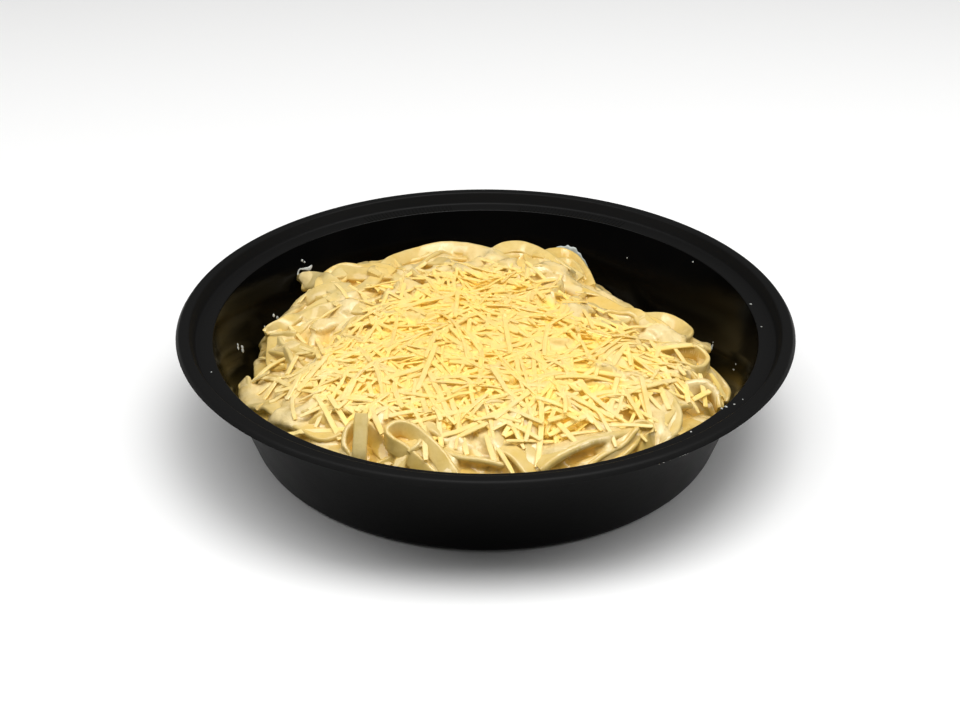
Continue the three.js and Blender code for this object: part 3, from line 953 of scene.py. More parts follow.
def press_to_wall(piece, gap):
    """Food that would pass the wall is flattened against it. Returns how many points."""
    points = points_of(piece.data) / MM
    points[:, 2] = np.maximum(points[:, 2], SKIN + gap)
    radius = np.hypot(points[:, 0], points[:, 1])
    most = inner_radius(np.minimum(points[:, 2], SEAT_HEIGHT)) - gap
    past = (radius > most) & (points[:, 2] < SEAT_HEIGHT)
    points[past, :2] *= (most[past] / radius[past])[:, None]
    move_points(piece.data, points)
    return int(past.sum())


def triangles_of(piece):
    return sum(len(face.vertices) - 2 for face in piece.data.polygons)


print("strips keep", WALL_CLEARANCE, "mm off the wall")


# %% [markdown]
# ### Noodle and sauce finishes
# Boiled wheat noodles are a dull straw yellow and a little see-through, so light runs
# into their edges. Cream sauce is paler and whiter. Both are wet: a soft gloss on top of
# a scattering body with a fine pimple in it. A long scatter greys what is small, so it
# stays under a millimetre, and a low warm glow stands in for the light that comes
# through from the neighbours.


# %% How a film of cream lies
CREAM = (0.86, 0.71, 0.41)
VEIL_FROM, VEIL_TO = 0.035, 0.08


def tone_mark(tree):
    return add_node(tree, "ShaderNodeAttribute", attribute_name="tone").outputs["Fac"]


def cream_film_share(tree, scale, at_middle, at_rim, least):
    """How much cream covers a point: patches that thicken or thin towards the rim."""
    flat = output_of(tree, "ShaderNodeVectorMath", {0: object_place(tree), 1: (1, 1, 0)},
                     operation="MULTIPLY")
    away = add_node(tree, "ShaderNodeVectorMath", {0: flat}, operation="LENGTH")
    outer = output_of(tree, "ShaderNodeMapRange", {
        "Value": away.outputs["Value"], "From Min": VEIL_FROM, "From Max": VEIL_TO,
        "To Min": at_middle, "To Max": at_rim})
    patches = map_value(tree, mottle(tree, scale, 0.35, 0.7), least, 1.0)
    return math_node(tree, "MULTIPLY", patches, outer)


print("the film changes between", VEIL_FROM / MM, "and", VEIL_TO / MM, "mm from the axis")


# %% Food material recipe
# Emitted colours that paint bounced light: strongest in creases, least on open tops.
PAINTED_GLOW = (0.92, 0.74, 0.2)
LEAST_PAINTED_GLOW = (0.29, 0.21, 0.01)


def food_material(name, low, high, mottle_scale, roughness, film, scatter, grain,
                  veil=CREAM, gloss=0.8, glow=0.08):
    """A wet, scattering finish. The tone attribute is the painted shade, how much open sky
    a point has and how far it lies under the top of the pile, times a tone of its own.
    Shut-in points take the low colour, the ochre of painted shade, open ones the high
    one, and both drift. A film of cream lies over it, as (scale, share at the middle, at
    the rim, least), scaled by the tone. The scatter is (metres, weight). Where the tone
    is low the emitted glow, painted bounce light, is stronger."""
    material, tree, shader = new_material(name, {
        "Subsurface Scale": scatter[0], "Subsurface Weight": scatter[1],
        "Subsurface Radius": (1.0, 1.0, 0.9), "IOR": 1.42, "Specular IOR Level": 0.15,
        "Coat Weight": gloss, "Coat Roughness": 0.1, "Emission Strength": glow,
    })
    shader.subsurface_method = "BURLEY"
    drift = mottle(tree, mottle_scale)
    share = math_node(tree, "MULTIPLY", tone_mark(tree), map_value(tree, drift, 0.75, 1.1))
    veiled = math_node(tree, "MULTIPLY", cream_film_share(tree, *film), share)
    feed(tree, shader, {
        "Base Color": blend_colours(tree, veiled, blend_colours(tree, share, low, high), veil),
        "Emission Color": blend_colours(tree, share, PAINTED_GLOW, LEAST_PAINTED_GLOW),
        "Roughness": map_value(tree, drift, *roughness),
        "Normal": grain_bump(tree, *grain),
    })
    return material


print("glow in the shade:", PAINTED_GLOW, "and at least", LEAST_PAINTED_GLOW)


# %% Three food finishes
# Each low colour is painted shade, the ochre a crease takes; each high one the food's own.
noodle_finish = food_material(
    "boiled_noodle", (0.71, 0.43, 0.05), (0.655, 0.52, 0.235), 90.0, (0.24, 0.4),
    (210.0, 0.4, 0.4, 0.0), (0.0006, 0.3), (350.0, 1300.0, 0.4, 0.35, 0.0005),
)
sauce_finish = food_material(
    "cream_sauce", (0.75, 0.44, 0.05), (0.73, 0.575, 0.285), 120.0, (0.2, 0.36),
    (180.0, 0.6, 0.6, 0.0), (0.0006, 0.3), (420.0, 1500.0, 0.5, 0.45, 0.0007),
)
cheese_finish = food_material(
    "shredded_cheese", (0.96, 0.71, 0.16), (0.78, 0.565, 0.212), 140.0, (0.35, 0.5),
    (150.0, 0.25, 1.0, 0.5), (0.0009, 0.3), (600.0, 2200.0, 0.6, 0.3, 0.0003),
    veil=(0.84, 0.71, 0.4), gloss=0.4, glow=0.14,
)
print("finishes:", noodle_finish.name, sauce_finish.name, cheese_finish.name)

# %% [markdown]
# ### Tone
# Light that reaches a crease has bounced from noodle to noodle on its way, and each
# bounce takes out blue: creases glow ochre while ridges are pale. A renderer stops after
# a few bounces, so each point carries a tone: how much open sky it has. That is read off
# the map of heights by looking along twelve directions for the highest horizon, and it
# falls off quickly below the top of the pile. A second map, of what lies flat alone,
# keeps a noodle that stands on edge from darkening all that is under its arch.

# %% Open sky over a map
SKY_STEPS = (1.2, 2.4, 3.6, 5.4, 7.8)
SKY_DIRECTIONS = np.radians(np.arange(0, 360, 30))


def sky_map(surface):
    """Share of the sky each cell sees, 1 on a flat top and towards 0 in a crease."""
    sky = np.zeros_like(surface)
    for turn in SKY_DIRECTIONS:
        steepest = np.zeros_like(surface)
        for reach in SKY_STEPS:
            step = (round(reach * math.sin(turn) / CELL), round(reach * math.cos(turn) / CELL))
            ahead = np.roll(surface, step, (0, 1))
            steepest = np.maximum(steepest, (ahead - surface) / reach)
        sky += 1 - np.sin(np.arctan(steepest))
    return sky / len(SKY_DIRECTIONS)


print("open sky over the noodles: 10, 50 and 90 in 100 under",
      np.percentile(sky_map(heights)[inside], (10, 50, 90)).round(2))


# %% Painting the tone
UNMARKED_TONE = 0.9
OWN_SHARE = 0.35
SKIN_MARGIN = 0.6
ARCH_SHARE = 0.5


def tones_of(mesh):
    tones = np.full(len(mesh.vertices), UNMARKED_TONE, np.float32)
    if "tone" in mesh.attributes:
        mesh.attributes["tone"].data.foreach_get("value", tones)
    return tones


def paint_tone(piece, surface, lying, closed, open_sky, depth):
    """Blends a piece's own tone with the sky over each of its points."""
    points = points_of(piece.data) / MM
    sky = read_map(blur_map(sky_map(surface), 0.5), points[:, 0], points[:, 1])
    under_all, under_lying = [
        read_map(values, points[:, 0], points[:, 1]) - points[:, 2] - SKIN_MARGIN
        for values in (surface, lying)]
    below = np.maximum(np.maximum(under_lying, ARCH_SHARE * under_all), 0)
    lit = np.clip((sky - closed) / (open_sky - closed), 0, 1) * np.exp(-below / depth)
    own = (1 - OWN_SHARE) + OWN_SHARE * tones_of(piece.data)
    mark_points(piece.data, "tone", own * lit)
    return lit


def with_own_tone(strips, draw, least=0.0):
    """Gives every strip a tone of its own, since no two are equally soaked."""
    return [(middle, face, scale, np.full(len(middle), draw.uniform(least, 1)))
            for middle, face, scale in strips]


print("tone of a piece that carries no mark:", UNMARKED_TONE)


# %% Sweep the noodles
NOODLE_INPUTS = {
    "Width": NOODLE_WIDTH * MM, "Thickness": NOODLE_THICKNESS * MM,
    "Edge Radius": 0.85 * MM, "Corner Steps": 3, "Skin Height": 0.4 * MM,
    "Skin Scale": 260.0, "Smooth": True, "Material": noodle_finish,
}
# Own tones for some edge noodles: a low tone paints a whole noodle in darker, ochre shade.
EDGE_TONES = {"right_ribbon": 0.0, "right_fold_end": 0.4, "filmed_arc": 0.1,
              "filmed_inner": 0.2, "front_big_loop": 0.4, "left_back_stub": 1.0,
              "front_upright": 1.0, "back_left_ribbon": 0.3}
noodle_pieces = []
for label, strips in (("noodles_under", under_noodles), ("noodles_upper", upper_noodles),
                      ("noodles_edge", edge_noodles)):
    toned = with_own_tone(strips, rng)
    if label == "noodles_edge":
        toned = [(*strip[:3], strip[3] * 0 + EDGE_TONES.get(name, strip[3][0]))
                 for name, strip in zip(EDGE_NOODLES, toned)]
    piece = run_tree(label, line_mesh(label, toned, 0.86), STRIP_TREE, NOODLE_INPUTS)
    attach(piece, "root")
    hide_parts("pasta")
    noodle_pieces.append(piece)
    print(label, "triangles:", triangles_of(piece), "points pressed:",
          press_to_wall(piece, gap=0.4))

# %% [markdown]
# ## Sauce
# The cream is thick: it fills the valleys between noodles, veils some ridges and leaves
# others bare. A blurred copy of the height map sits above the valleys and below the
# ridges, which is that shape. A slow wander lifts it here and lowers it there, small
# lumps curdle it, and the mesh is carried down the wall to the floor as one body.

# %% Slow random wander
def wander(seed, spread):
    rough = np.random.default_rng(seed).normal(size=heights.shape)
    soft = blur_map(rough, spread)
    return soft / soft.std()


def spots(places, bump):
    """A map of round spots, each (x, y, radius), where `bump` shapes how they fall off."""
    total = np.zeros_like(heights)
    for x, y, radius in places:
        total = np.maximum(total, bump(np.hypot(grid_x - x, grid_y - y) / radius))
    return total


print("a wander swings by about", round(float(wander(1, 5.0).std()), 2))


# %% How high the sauce stands
VALLEY_BLUR = 2.2
COAT_BLUR = 1.0
MOST_OVER_NOODLES = 1.8
PATCH_SPREAD = 7.0
LUMP_COVER = 3.0
LUMP_RISE = 0.9
SAUCE_LUMPS = [
    (33, 12, 4.5), (39, 4, 4), (44, -6, 4), (50, -9, 3), (-53, 19, 5), (-56, 10, 4),
    (-52, 29, 4), (5, -69, 5), (13, -67, 5), (22, -70, 5), (60, 8, 4), (69, 6, 3.5),
    (-68, -24, 5), (-74, -13, 4), (-69, -51, 4), (64, -50, 5),
    (2, -73, 5), (14, -71, 6), (24, -67, 6), (34, -63, 5), (38, 4, 6), (-28, 54, 5),
    (-58, -18, 5), (-82, -14, 5), (61, -55, 5), (64, 0, 4), (-75, -44, 4),
    (-74, 57, 4), (80, -22, 6), (78, -30, 5), (86, -25, 5), (74, -7, 6), (81, -9, 5),
    (89, -20, 4),
]
lumps = spots(SAUCE_LUMPS, lambda away: np.exp(-0.5 * (away * 1.6) ** 2))
valley_sauce = blur_map(bed_map, VALLEY_BLUR) + 0.15 + 0.4 * wander(5, PATCH_SPREAD)
coverage = wander(8, PATCH_SPREAD) + 0.4 * wander(9, 2.2) + LUMP_COVER * lumps
coat_sauce = blur_map(bed_map, COAT_BLUR) + 0.3 * np.clip(coverage + 0.8, -2, 1.5)
sauce_map = np.maximum(valley_sauce, coat_sauce) + LUMP_RISE * lumps
sauce_map = (blur_map(np.minimum(sauce_map, bed_map + MOST_OVER_NOODLES), 0.6)
             + 0.1 * wander(6, 1.6))
print("share of the heap under sauce:",
      round(float((sauce_map > bed_map)[inside].mean()), 2))

# %% Sauce body
SAUCE_SIDES = 400
SAUCE_RINGS = 120
SAUCE_GAP = 0.35
SAUCE_FLOOR = SKIN + SAUCE_GAP
SIDE_HEIGHTS = (0.75, 0.5, 0.25)
FOOT_INSET = 2.5
EDGE_GUESS = 92.0
EDGE_PASSES = 12


def wall_at(height):
    return inner_radius(np.maximum(height, SKIN)) - SAUCE_GAP


def ring_on_map(values, angles, radius, centre=(0.0, 0.0)):
    """A ring of points at the height that a map has there."""
    x, y = centre[0] + radius * np.cos(angles), centre[1] + radius * np.sin(angles)
    return np.column_stack([x, y, read_map(values, x, y)])


around = np.linspace(0, 2 * math.pi, SAUCE_SIDES, endpoint=False)
edge_radius = np.full(SAUCE_SIDES, EDGE_GUESS)
for _ in range(EDGE_PASSES):
    edge_height = ring_on_map(sauce_map, around, edge_radius)[:, 2]
    edge_radius = 0.5 * edge_radius + 0.5 * wall_at(edge_height)
rows = [ring_on_map(sauce_map, around, edge_radius * share)
        for share in np.linspace(0, 1, SAUCE_RINGS + 1)[1:]]
for share in SIDE_HEIGHTS:
    height = rows[SAUCE_RINGS - 1][:, 2] * share + SKIN + SAUCE_GAP
    rows.append(polar(around, np.minimum(wall_at(height), edge_radius), height))
rows.append(polar(around, wall_at(SAUCE_FLOOR) - FOOT_INSET, SAUCE_FLOOR))
middle_height = float(ring_on_map(sauce_map, np.zeros(1), 0.0)[0, 2])
filling = ring_body("sauce_filling", rows, (0, 0, middle_height), (0, 0, SAUCE_FLOOR))
print("filling faces:", len(filling.data.polygons))

# %% [markdown]
# ### Where the cheese lies
# The cheese mat has a ragged outline, given by its reach in every direction from its own
# middle. The sauce needs it too: it stays thin under the mat.

# %% Reach of the cheese mat
MAT_CENTRE = (0.0, -14.0)
MAT_REACH = [62, 46, 48, 50, 55, 60, 64, 57, 52, 50, 47, 48, 60, 66, 62, 57, 52, 50, 50, 52,
             56, 60, 62, 66]


def mat_edge(angle):
    """How far the mat reaches from its centre in a direction, in degrees."""
    turns = np.arange(len(MAT_REACH) + 1) * 360 / len(MAT_REACH)
    return np.interp(angle, turns, MAT_REACH + MAT_REACH[:1])


def mat_share(x, y):
    """Distance from the mat's centre, 1 at its uneven edge."""
    x, y = x - MAT_CENTRE[0], y - MAT_CENTRE[1]
    return np.hypot(x, y) / mat_edge(np.degrees(np.arctan2(y, x)) % 360)


def smooth_step(value, low, high):
    share = np.clip((value - low) / (high - low), 0, 1)
    return share * share * (3 - 2 * share)


print("mat reaches from", min(MAT_REACH), "to", max(MAT_REACH), "mm")

# %% [markdown]
# ### The coat
# Thick cream also clings: it rounds every crease between two noodles and thins to
# nothing on their ridges. That is what smoothing does to a surface, so the filling and
# all the noodles are joined in a copy, skinned over by a voxel remesh and smoothed. The
# skin stands proud in the creases and sinks under the ridges, and a slow wander moves it
# out or in, so that here a noodle is veiled and there it is bare.

# %% Skin over several pieces
def skin_over(name, pieces, voxel, smoothing):
    """One closed skin round pieces that overlap, its creases rounded by smoothing."""
    bundle = bmesh.new()
    for part in pieces:
        bundle.from_mesh(part.data)
    joined = bpy.data.meshes.new(name)
    bundle.to_mesh(joined)
    bundle.free()
    carrier = link_object(name + "_carrier", joined)
    skin = carrier.modifiers.new("skin", "REMESH")
    skin.mode = "VOXEL"
    skin.voxel_size = voxel * MM
    skin.use_smooth_shade = True
    relax = carrier.modifiers.new("relax", "SMOOTH")
    relax.factor = 0.5
    relax.iterations = smoothing
    piece = plain_copy(name, carrier)
    piece.data.materials.clear()
    return piece


COAT_VOXEL = 1.05
COAT_SMOOTHING = 6
coat = skin_over("cream_coat", [filling] + noodle_pieces, COAT_VOXEL, COAT_SMOOTHING)
bpy.data.objects.remove(filling)
print("coat faces:", len(coat.data.polygons))

# %% Veiling and baring the noodles
COAT_THICKNESS = 0.36
COAT_LIMITS = (-0.7, 1.3)
BARE_DROP = 1.1
MAT_DROP = 0.4
RIPPLE = 0.13
FINE_RIPPLE = 0.06
BARE_PLACES = [
    (-26, -75, 11), (-44, -67, 7), (52, -66, 7), (77, -9, 9), (70, 22, 10), (57, 19, 6),
    (-66, 26, 8), (-54, 50, 17), (-30, 70, 13),
    (-78, 12, 8), (16, 74, 9), (38, 72, 12), (45, 30, 8), (-56, -57, 8),
]
bare = spots(BARE_PLACES, lambda away: np.clip(1.6 - away, 0, 1))
under_cheese = 1 - smooth_step(mat_share(grid_x, grid_y), 0.75, 1.0)
thin = smooth_step(wander(8, 5.0), 0.5, 0.9)
coat_map = (COAT_THICKNESS - BARE_DROP * np.maximum(bare, thin) - MAT_DROP * under_cheese
            + RIPPLE * wander(9, 1.8) + FINE_RIPPLE * wander(10, 0.8) + 0.7 * lumps)
coat_map = np.clip(coat_map, *COAT_LIMITS)
points = points_of(coat.data) / MM
points += points_of(coat.data, "normal") * read_map(coat_map, *points[:, :2].T)[:, None]
move_points(coat.data, points)
press_to_wall(coat, gap=0.45)
coat.data.materials.append(sauce_finish)
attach(coat, "root")
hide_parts("pasta")
print("coat out by", round(float(coat_map[inside].mean()), 2), "mm on average")

# %% Tone of noodles and coat
NOODLE_SKY = {"closed": 0.12, "open_sky": 0.66, "depth": 3.5}
LUMP_TONE = 0.9
heights = np.maximum(heights, sauce_map)
for shift_x in (-0.5, 0, 0.5):
    for shift_y in (-0.5, 0, 0.5):
        np.maximum.at(heights, cell_of(points[:, 0] + shift_x, points[:, 1] + shift_y),
                      points[:, 2] - 0.1)
for piece in noodle_pieces + [coat]:
    lit = paint_tone(piece, heights, np.maximum(bed_map, sauce_map), **NOODLE_SKY)
    print(piece.name, "mean tone", round(float(lit.mean()), 2))
points = points_of(coat.data) / MM
tone = tones_of(coat.data)
# Sauce lumps with a tone over 0.3 get a higher one: less painted shade, so paler.
on_lumps = read_map(lumps, points[:, 0], points[:, 1]).astype(np.float32)
mark_points(coat.data, "tone", tone + LUMP_TONE * (tone > 0.3) * on_lumps)

# %% [markdown]
# ## Cheese
# Shredded hard cheese falls as stiff little bars about two millimetres wide and one
# thick, from crumbs to three centimetres long. A bar is too stiff to drape, so each
# one is laid as a rod: it tips onto the two highest points on either side of its
# middle. Most land in a round mat, and a few stray towards the edge.

# %% Shred sizes
SHRED_WIDTH = 1.8
SHRED_THICKNESS = 0.65
TOP_LIMIT = 45.2
PACKED_SHREDS = 700
LOOSE_SHREDS = 230
STRAY_SHREDS = 125
ROD_OFFSETS = np.array([-0.4, 0.0, 0.4])
CARRIED_PERCENTILE = 62
DROOP_POWER = 1.6
TIP_LIMIT = 0.25
TILT_LIMIT = 0.4
SHRED_STEP = 1.9
print("scattered shreds:", PACKED_SHREDS + LOOSE_SHREDS + STRAY_SHREDS)


# %% Laying a stiff rod
def lay_rod(line, width, thickness, droop, sink=0.35):
    """Rests on the two points that carry its middle; its ends droop towards the pile."""
    tangent = unit(np.gradient(line, axis=0))
    left = np.stack([-tangent[:, 1], tangent[:, 0]], 1)
    offsets = ROD_OFFSETS * width
    sample = line[:, None, :] + left[:, None, :] * offsets[None, :, None]
    under = heights[cell_of(sample[..., 0], sample[..., 1])]
    ground = under.max(1)
    along = np.concatenate([[0], np.cumsum(np.hypot(*np.diff(line, axis=0).T))])
    half = along[-1] / 2
    before, after = np.where(along <= half)[0], np.where(along > half)[0]
    slopes = ((ground[after][None, :] - ground[before][:, None])
              / (along[after][None, :] - along[before][:, None]))
    at_middle = ground[before][:, None] + slopes * (half - along[before])[:, None]
    b, a = np.unravel_index(at_middle.argmax(), at_middle.shape)
    fall = packed_map[cell_of(line[:, 0], line[:, 1])]
    fall = (fall[-1] - fall[0]) / along[-1]
    slope = np.clip(slopes[b, a], fall - TIP_LIMIT, fall + TIP_LIMIT)
    tilt_rise = slope * (along - half)
    stiff = np.percentile(ground - tilt_rise, CARRIED_PERCENTILE) + tilt_rise
    hang = droop * np.abs(along - half) ** DROOP_POWER
    rest = np.maximum(stiff - hang, np.minimum(blur_line(ground, 1.0), stiff)) - sink
    rest -= max(0.0, (rest + thickness).max() - TOP_LIMIT)
    middle = np.column_stack([line, rest + thickness * 0.5])
    tilt = (under[:, 2] - under[:, 0]).mean() / (0.8 * width)
    tilt = np.clip(tilt, -TILT_LIMIT, TILT_LIMIT)
    side, face = strip_frame(middle, np.full(len(line), tilt), 0.0)
    raise_maps((heights,), middle, side, face, width, thickness)
    return middle, face


print("a rod feels the map at", len(ROD_OFFSETS), "places across its width")


# %% Where a shred may fall
CLEAR_SPOTS = [(-18, 68, 16), (14, 72, 14), (-44, 52, 10), (-26, -76, 17), (-46, -68, 9),
               (36, -77, 15), (82, -10, 9), (76, 24, 13), (4, -80, 12), (63, -52, 9),
               (50, 62, 14), (-56, 60, 8)]
MAT_BOX = ((-86, 80), (-84, 58))
STRAY_HALF = 92
MAT_THINS_FROM, MAT_THINNING, MAT_END = 0.5, 2.0, 1.05
STRAYS_FROM, STRAY_THINNING = 0.9, 3.5
SHRED_LENGTHS = (5, 30)
LENGTH_SPREAD = 0.38
SHRED_BEND = 11
SHRED_LIMIT = 91


def shred_place(draw, in_mat, typical):
    """A seeded place and line for one shred, or nothing if it would miss the heap."""
    if in_mat:
        x, y = [draw.uniform(*side) for side in MAT_BOX]
        away = float(mat_share(np.array(x), np.array(y)))
        misses, thinning = away > MAT_END, MAT_THINNING * max(away - MAT_THINS_FROM, 0)
    else:
        x, y = draw.uniform(-STRAY_HALF, STRAY_HALF, 2)
        away = float(mat_share(np.array(x), np.array(y)))
        misses, thinning = away < STRAYS_FROM, STRAY_THINNING * (away - STRAYS_FROM)
    if misses or math.hypot(x, y) > HEAP_RADIUS or draw.uniform() > math.exp(-thinning):
        return None
    if any(math.hypot(x - a, y - b) < radius for a, b, radius in CLEAR_SPOTS):
        return None
    length = float(np.clip(draw.lognormal(math.log(typical), LENGTH_SPREAD), *SHRED_LENGTHS))
    line = arc_line(np.array([x, y]), draw.uniform(0, 360), length,
                    draw.normal(0, SHRED_BEND), SHRED_STEP)
    return line if np.hypot(line[:, 0], line[:, 1]).max() < SHRED_LIMIT else None


print("spots kept clear of shreds:", len(CLEAR_SPOTS))


# %% Scatter the shreds
SHRED_TRIES = 5
SHRED_GIRTHS = (0.65, 1.1)
SHRED_DROOPS = (0.01, 0.06)


def scatter_shreds(count, seed, in_mat, typical):
    """Each shred takes the lowest of a few places, as one that slides would."""
    draw = np.random.default_rng(seed)
    strips = []
    while len(strips) < count:
        lines = [shred_place(draw, in_mat, typical) for _ in range(SHRED_TRIES)]
        lines = [line for line in lines if line is not None]
        if not lines:
            continue
        line = min(lines, key=pile_over)
        width = SHRED_WIDTH * draw.uniform(*SHRED_GIRTHS)
        middle, face = lay_rod(line, width, SHRED_THICKNESS, draw.uniform(*SHRED_DROOPS))
        strips.append((middle, face, width / SHRED_WIDTH))
    return strips


def widest(values):
    """Each cell takes the highest value of its neighbours."""
    return np.max([np.roll(values, (i, j), (0, 1)) for i in (-1, 0, 1) for j in (-1, 0, 1)], 0)


print("each shred may try", SHRED_TRIES, "places")


# %% A bed for the mat, and the shreds on it
sauce_top = widest(heights)
bed = np.maximum(sauce_top + 0.15, blur_map(sauce_top, 4.0) + 0.3)
in_mat = 1 - smooth_step(mat_share(grid_x, grid_y), 0.6, 0.9)
heights += np.maximum(bed - heights, 0) * in_mat
cheese_bed = heights.copy()
packed_shreds = scatter_shreds(PACKED_SHREDS, seed=11, in_mat=True, typical=12)
packed_top = heights.copy()
loose_shreds = scatter_shreds(LOOSE_SHREDS, seed=13, in_mat=True, typical=20)
stray_shreds = scatter_shreds(STRAY_SHREDS, seed=12, in_mat=False, typical=15)
print("shreds:", len(packed_shreds), "packed,", len(loose_shreds), "loose,",
      len(stray_shreds), "stray")

# %% Shreds that stand out
# Knots are (x, y) in millimetres: the long ones on top and the ones over the edge.
SINGLE_SHREDS = [
    [(-64, 3), (-59, -20)], [(-56, -12), (-46, 6)], [(-88, -15), (-81, -8), (-73, -6)],
    [(-87, -9), (-77, -20), (-69, -33)], [(-67, -36), (-58, -23)], [(-73, -20), (-70, -9)],
    [(-58, -48), (-50, -64)], [(-55, -47), (-47, -60)], [(-21, -68), (-20, -80)],
    [(-18, -71), (-5, -67), (6, -59)], [(3, -64), (15, -52)], [(7, 0), (9, -24)],
    [(-18, -24), (-24, -46)], [(46, -14), (60, -9), (73, -3)], [(54, -42), (58, -60)],
    [(48, -44), (55, -60)], [(90, -20), (79, -21)], [(0, -71), (3, -82)],
    [(4, -76), (9, -86)], [(-64, 34), (-57, 18)], [(30, -34), (48, -40)],
    [(-34, -18), (-14, -8)], [(-6, 20), (14, 26)], [(20, 8), (34, -8)],
    [(-38, -40), (-22, -34)], [(60, -14), (82, -2)], [(26, -52), (44, -58)],
    [(62, -37), (64, -50)], [(69, -28), (74, -37)], [(81, -19), (89, -27)],
    [(84, -19), (93, -21)], [(74, -38), (83, -29)], [(72, -31), (72, -42)],
    [(78, -25), (79, -37)], [(67, -28), (78, -24)], [(-91, -14), (-80, -18)],
    [(-81, -28), (-76, -19)], [(-71, -38), (-67, -28)], [(-66, -43), (-58, -42)],
    [(55, -38), (57, -54)], [(21, -69), (34, -62)], [(25, -71), (39, -65)],
    [(24, -64), (30, -74)], [(84, -12), (90, -18)], [(83, -22), (89, -16)],
    [(81, -26), (87, -20)], [(86, -10), (88, -20)], [(63, -16), (80, -8)],
    [(60, -13), (80, -13)], [(66, -20), (79, -15)], [(70, -7), (75, -19)],
    [(61, -9), (67, -18)],
]
SINGLE_GIRTH = 1.1
single_shreds = []
for knots in SINGLE_SHREDS:
    line = knotted_line([(x, y, 0, 0) for x, y in knots], SHRED_STEP)[:, :2]
    middle, face = lay_rod(line, SHRED_WIDTH * SINGLE_GIRTH, SHRED_THICKNESS, 0.02, sink=0.2)
    single_shreds.append((middle, face, SINGLE_GIRTH))
print("single shreds:", len(single_shreds))

# %% [markdown]
# ### Packed cheese
# Between the shreds that can be told apart lie packed ones, half sunk in sauce. That is
# finer than anything loose, so it is relief: a cake whose top follows the blurred map of
# the mat, just under its top shreds, and dives into the sauce at the mat's edge.

# %% Cake between the shreds
CAKE_RINGS = 110
CAKE_SIDES = 560
CAKE_DEPTH = 0.1
CAKE_EDGE = 0.8
CAKE_THICKNESS = 2.5
CAKE_ROUGHNESS = 0.14
CHEESE_SKY = {"closed": 0.1, "open_sky": 0.7, "depth": 1.5}
cake_map = np.maximum(blur_map(packed_top, 0.55) - CAKE_DEPTH,
                      blur_map(packed_top, 1.8) - 0.25)
cake_map = (np.maximum(cake_map, cheese_bed) + CAKE_ROUGHNESS * wander(21, 0.9)
            - 8.0 * np.clip(mat_share(grid_x, grid_y) - CAKE_EDGE, 0, 1))
around = np.linspace(0, 2 * math.pi, CAKE_SIDES, endpoint=False)
reach = mat_edge(np.degrees(around))
rows = [ring_on_map(cake_map, around, reach * share, MAT_CENTRE)
        for share in np.linspace(0, 1, CAKE_RINGS + 1)[1:]]
rows += [rows[int(share * CAKE_RINGS) - 1] - (0, 0, CAKE_THICKNESS)
         for share in (1.0, 0.8, 0.6, 0.4, 0.2)]
top_height = float(ring_on_map(cake_map, np.zeros(1), 0.0, MAT_CENTRE)[0, 2])
cake = ring_body("cheese_cake", rows, (*MAT_CENTRE, top_height),
                 (*MAT_CENTRE, top_height - CAKE_THICKNESS))
cake.data.materials.append(cheese_finish)
press_to_wall(cake, gap=0.5)
paint_tone(cake, heights, heights, **CHEESE_SKY)
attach(cake, "root")
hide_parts("shredded_cheese")
print("cake faces:", len(cake.data.polygons), "crown", round(top_height, 1), "mm")

# %% Sweep the shreds
SHRED_INPUTS = {
    "Width": SHRED_WIDTH * MM, "Thickness": SHRED_THICKNESS * MM,
    "Edge Radius": 0.2 * MM, "Corner Steps": 1, "Skin Height": 0.3 * MM,
    "Skin Scale": 480.0, "Smooth": False, "Material": cheese_finish,
}
for label, strips, least in (
        ("cheese_packed", packed_shreds, 0.0),
        ("cheese_loose", loose_shreds + stray_shreds + single_shreds, 0.6)):
    piece = run_tree(label, line_mesh(label, with_own_tone(strips, rng, least), 0.8),
                     STRIP_TREE, SHRED_INPUTS)
    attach(piece, "root")
    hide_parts("shredded_cheese")
    press_to_wall(piece, gap=0.5)
    paint_tone(piece, heights, heights, **CHEESE_SKY)
    print(label, "triangles:", triangles_of(piece), "highest",
          round(float(points_of(piece.data)[:, 2].max()) / MM, 1), "mm")

# %% [markdown]
# ## Splashes
# Filling the bowl leaves small splashes: beads and smears of cream on the bare wall and
# ledge, and crumbs of dried cream under the lip. Each is a flattened bead that sits on
# the skin, so one tree puts a bead at every point, turns its flat side to the skin and
# sizes it. The points carry which way the skin looks and how big the bead is.

# %% Bead tree
def build_bead_tree():
    tree, given, result = geometry_tree(
        "cream_beads", Float=("Flatness", "Unevenness"), Material=("Material",))
    shape = output_of(tree, "ShaderNodeCombineXYZ", {
        "X": 1.0, "Y": 1.0, "Z": given["Flatness"]})
    beads = output_of(tree, "GeometryNodeInstanceOnPoints", {
        "Points": output_of(tree, "GeometryNodeMeshToPoints", {"Mesh": given["Geometry"]}),
        "Instance": output_of(tree, "GeometryNodeMeshIcoSphere", {"Subdivisions": 3}),
        "Rotation": output_of(tree, "FunctionNodeAlignRotationToVector", {
            "Vector": named_attribute(tree, "facing", "FLOAT_VECTOR")}, axis="Z"),
        "Scale": scaled(tree, shape, named_attribute(tree, "girth", "FLOAT")),
    })
    wave = add_node(tree, "ShaderNodeTexNoise", {"Scale": 700.0}).outputs["Color"]
    wave = output_of(tree, "ShaderNodeVectorMath", {0: wave, 1: (0.5, 0.5, 0.5)},
                     operation="SUBTRACT")
    moved = push(tree, realize(tree, beads), scaled(tree, wave, given["Unevenness"]))
    smooth = output_of(tree, "GeometryNodeSetShadeSmooth", {"Geometry": moved})
    return set_material(tree, given, result, smooth)


BEAD_TREE = build_bead_tree()

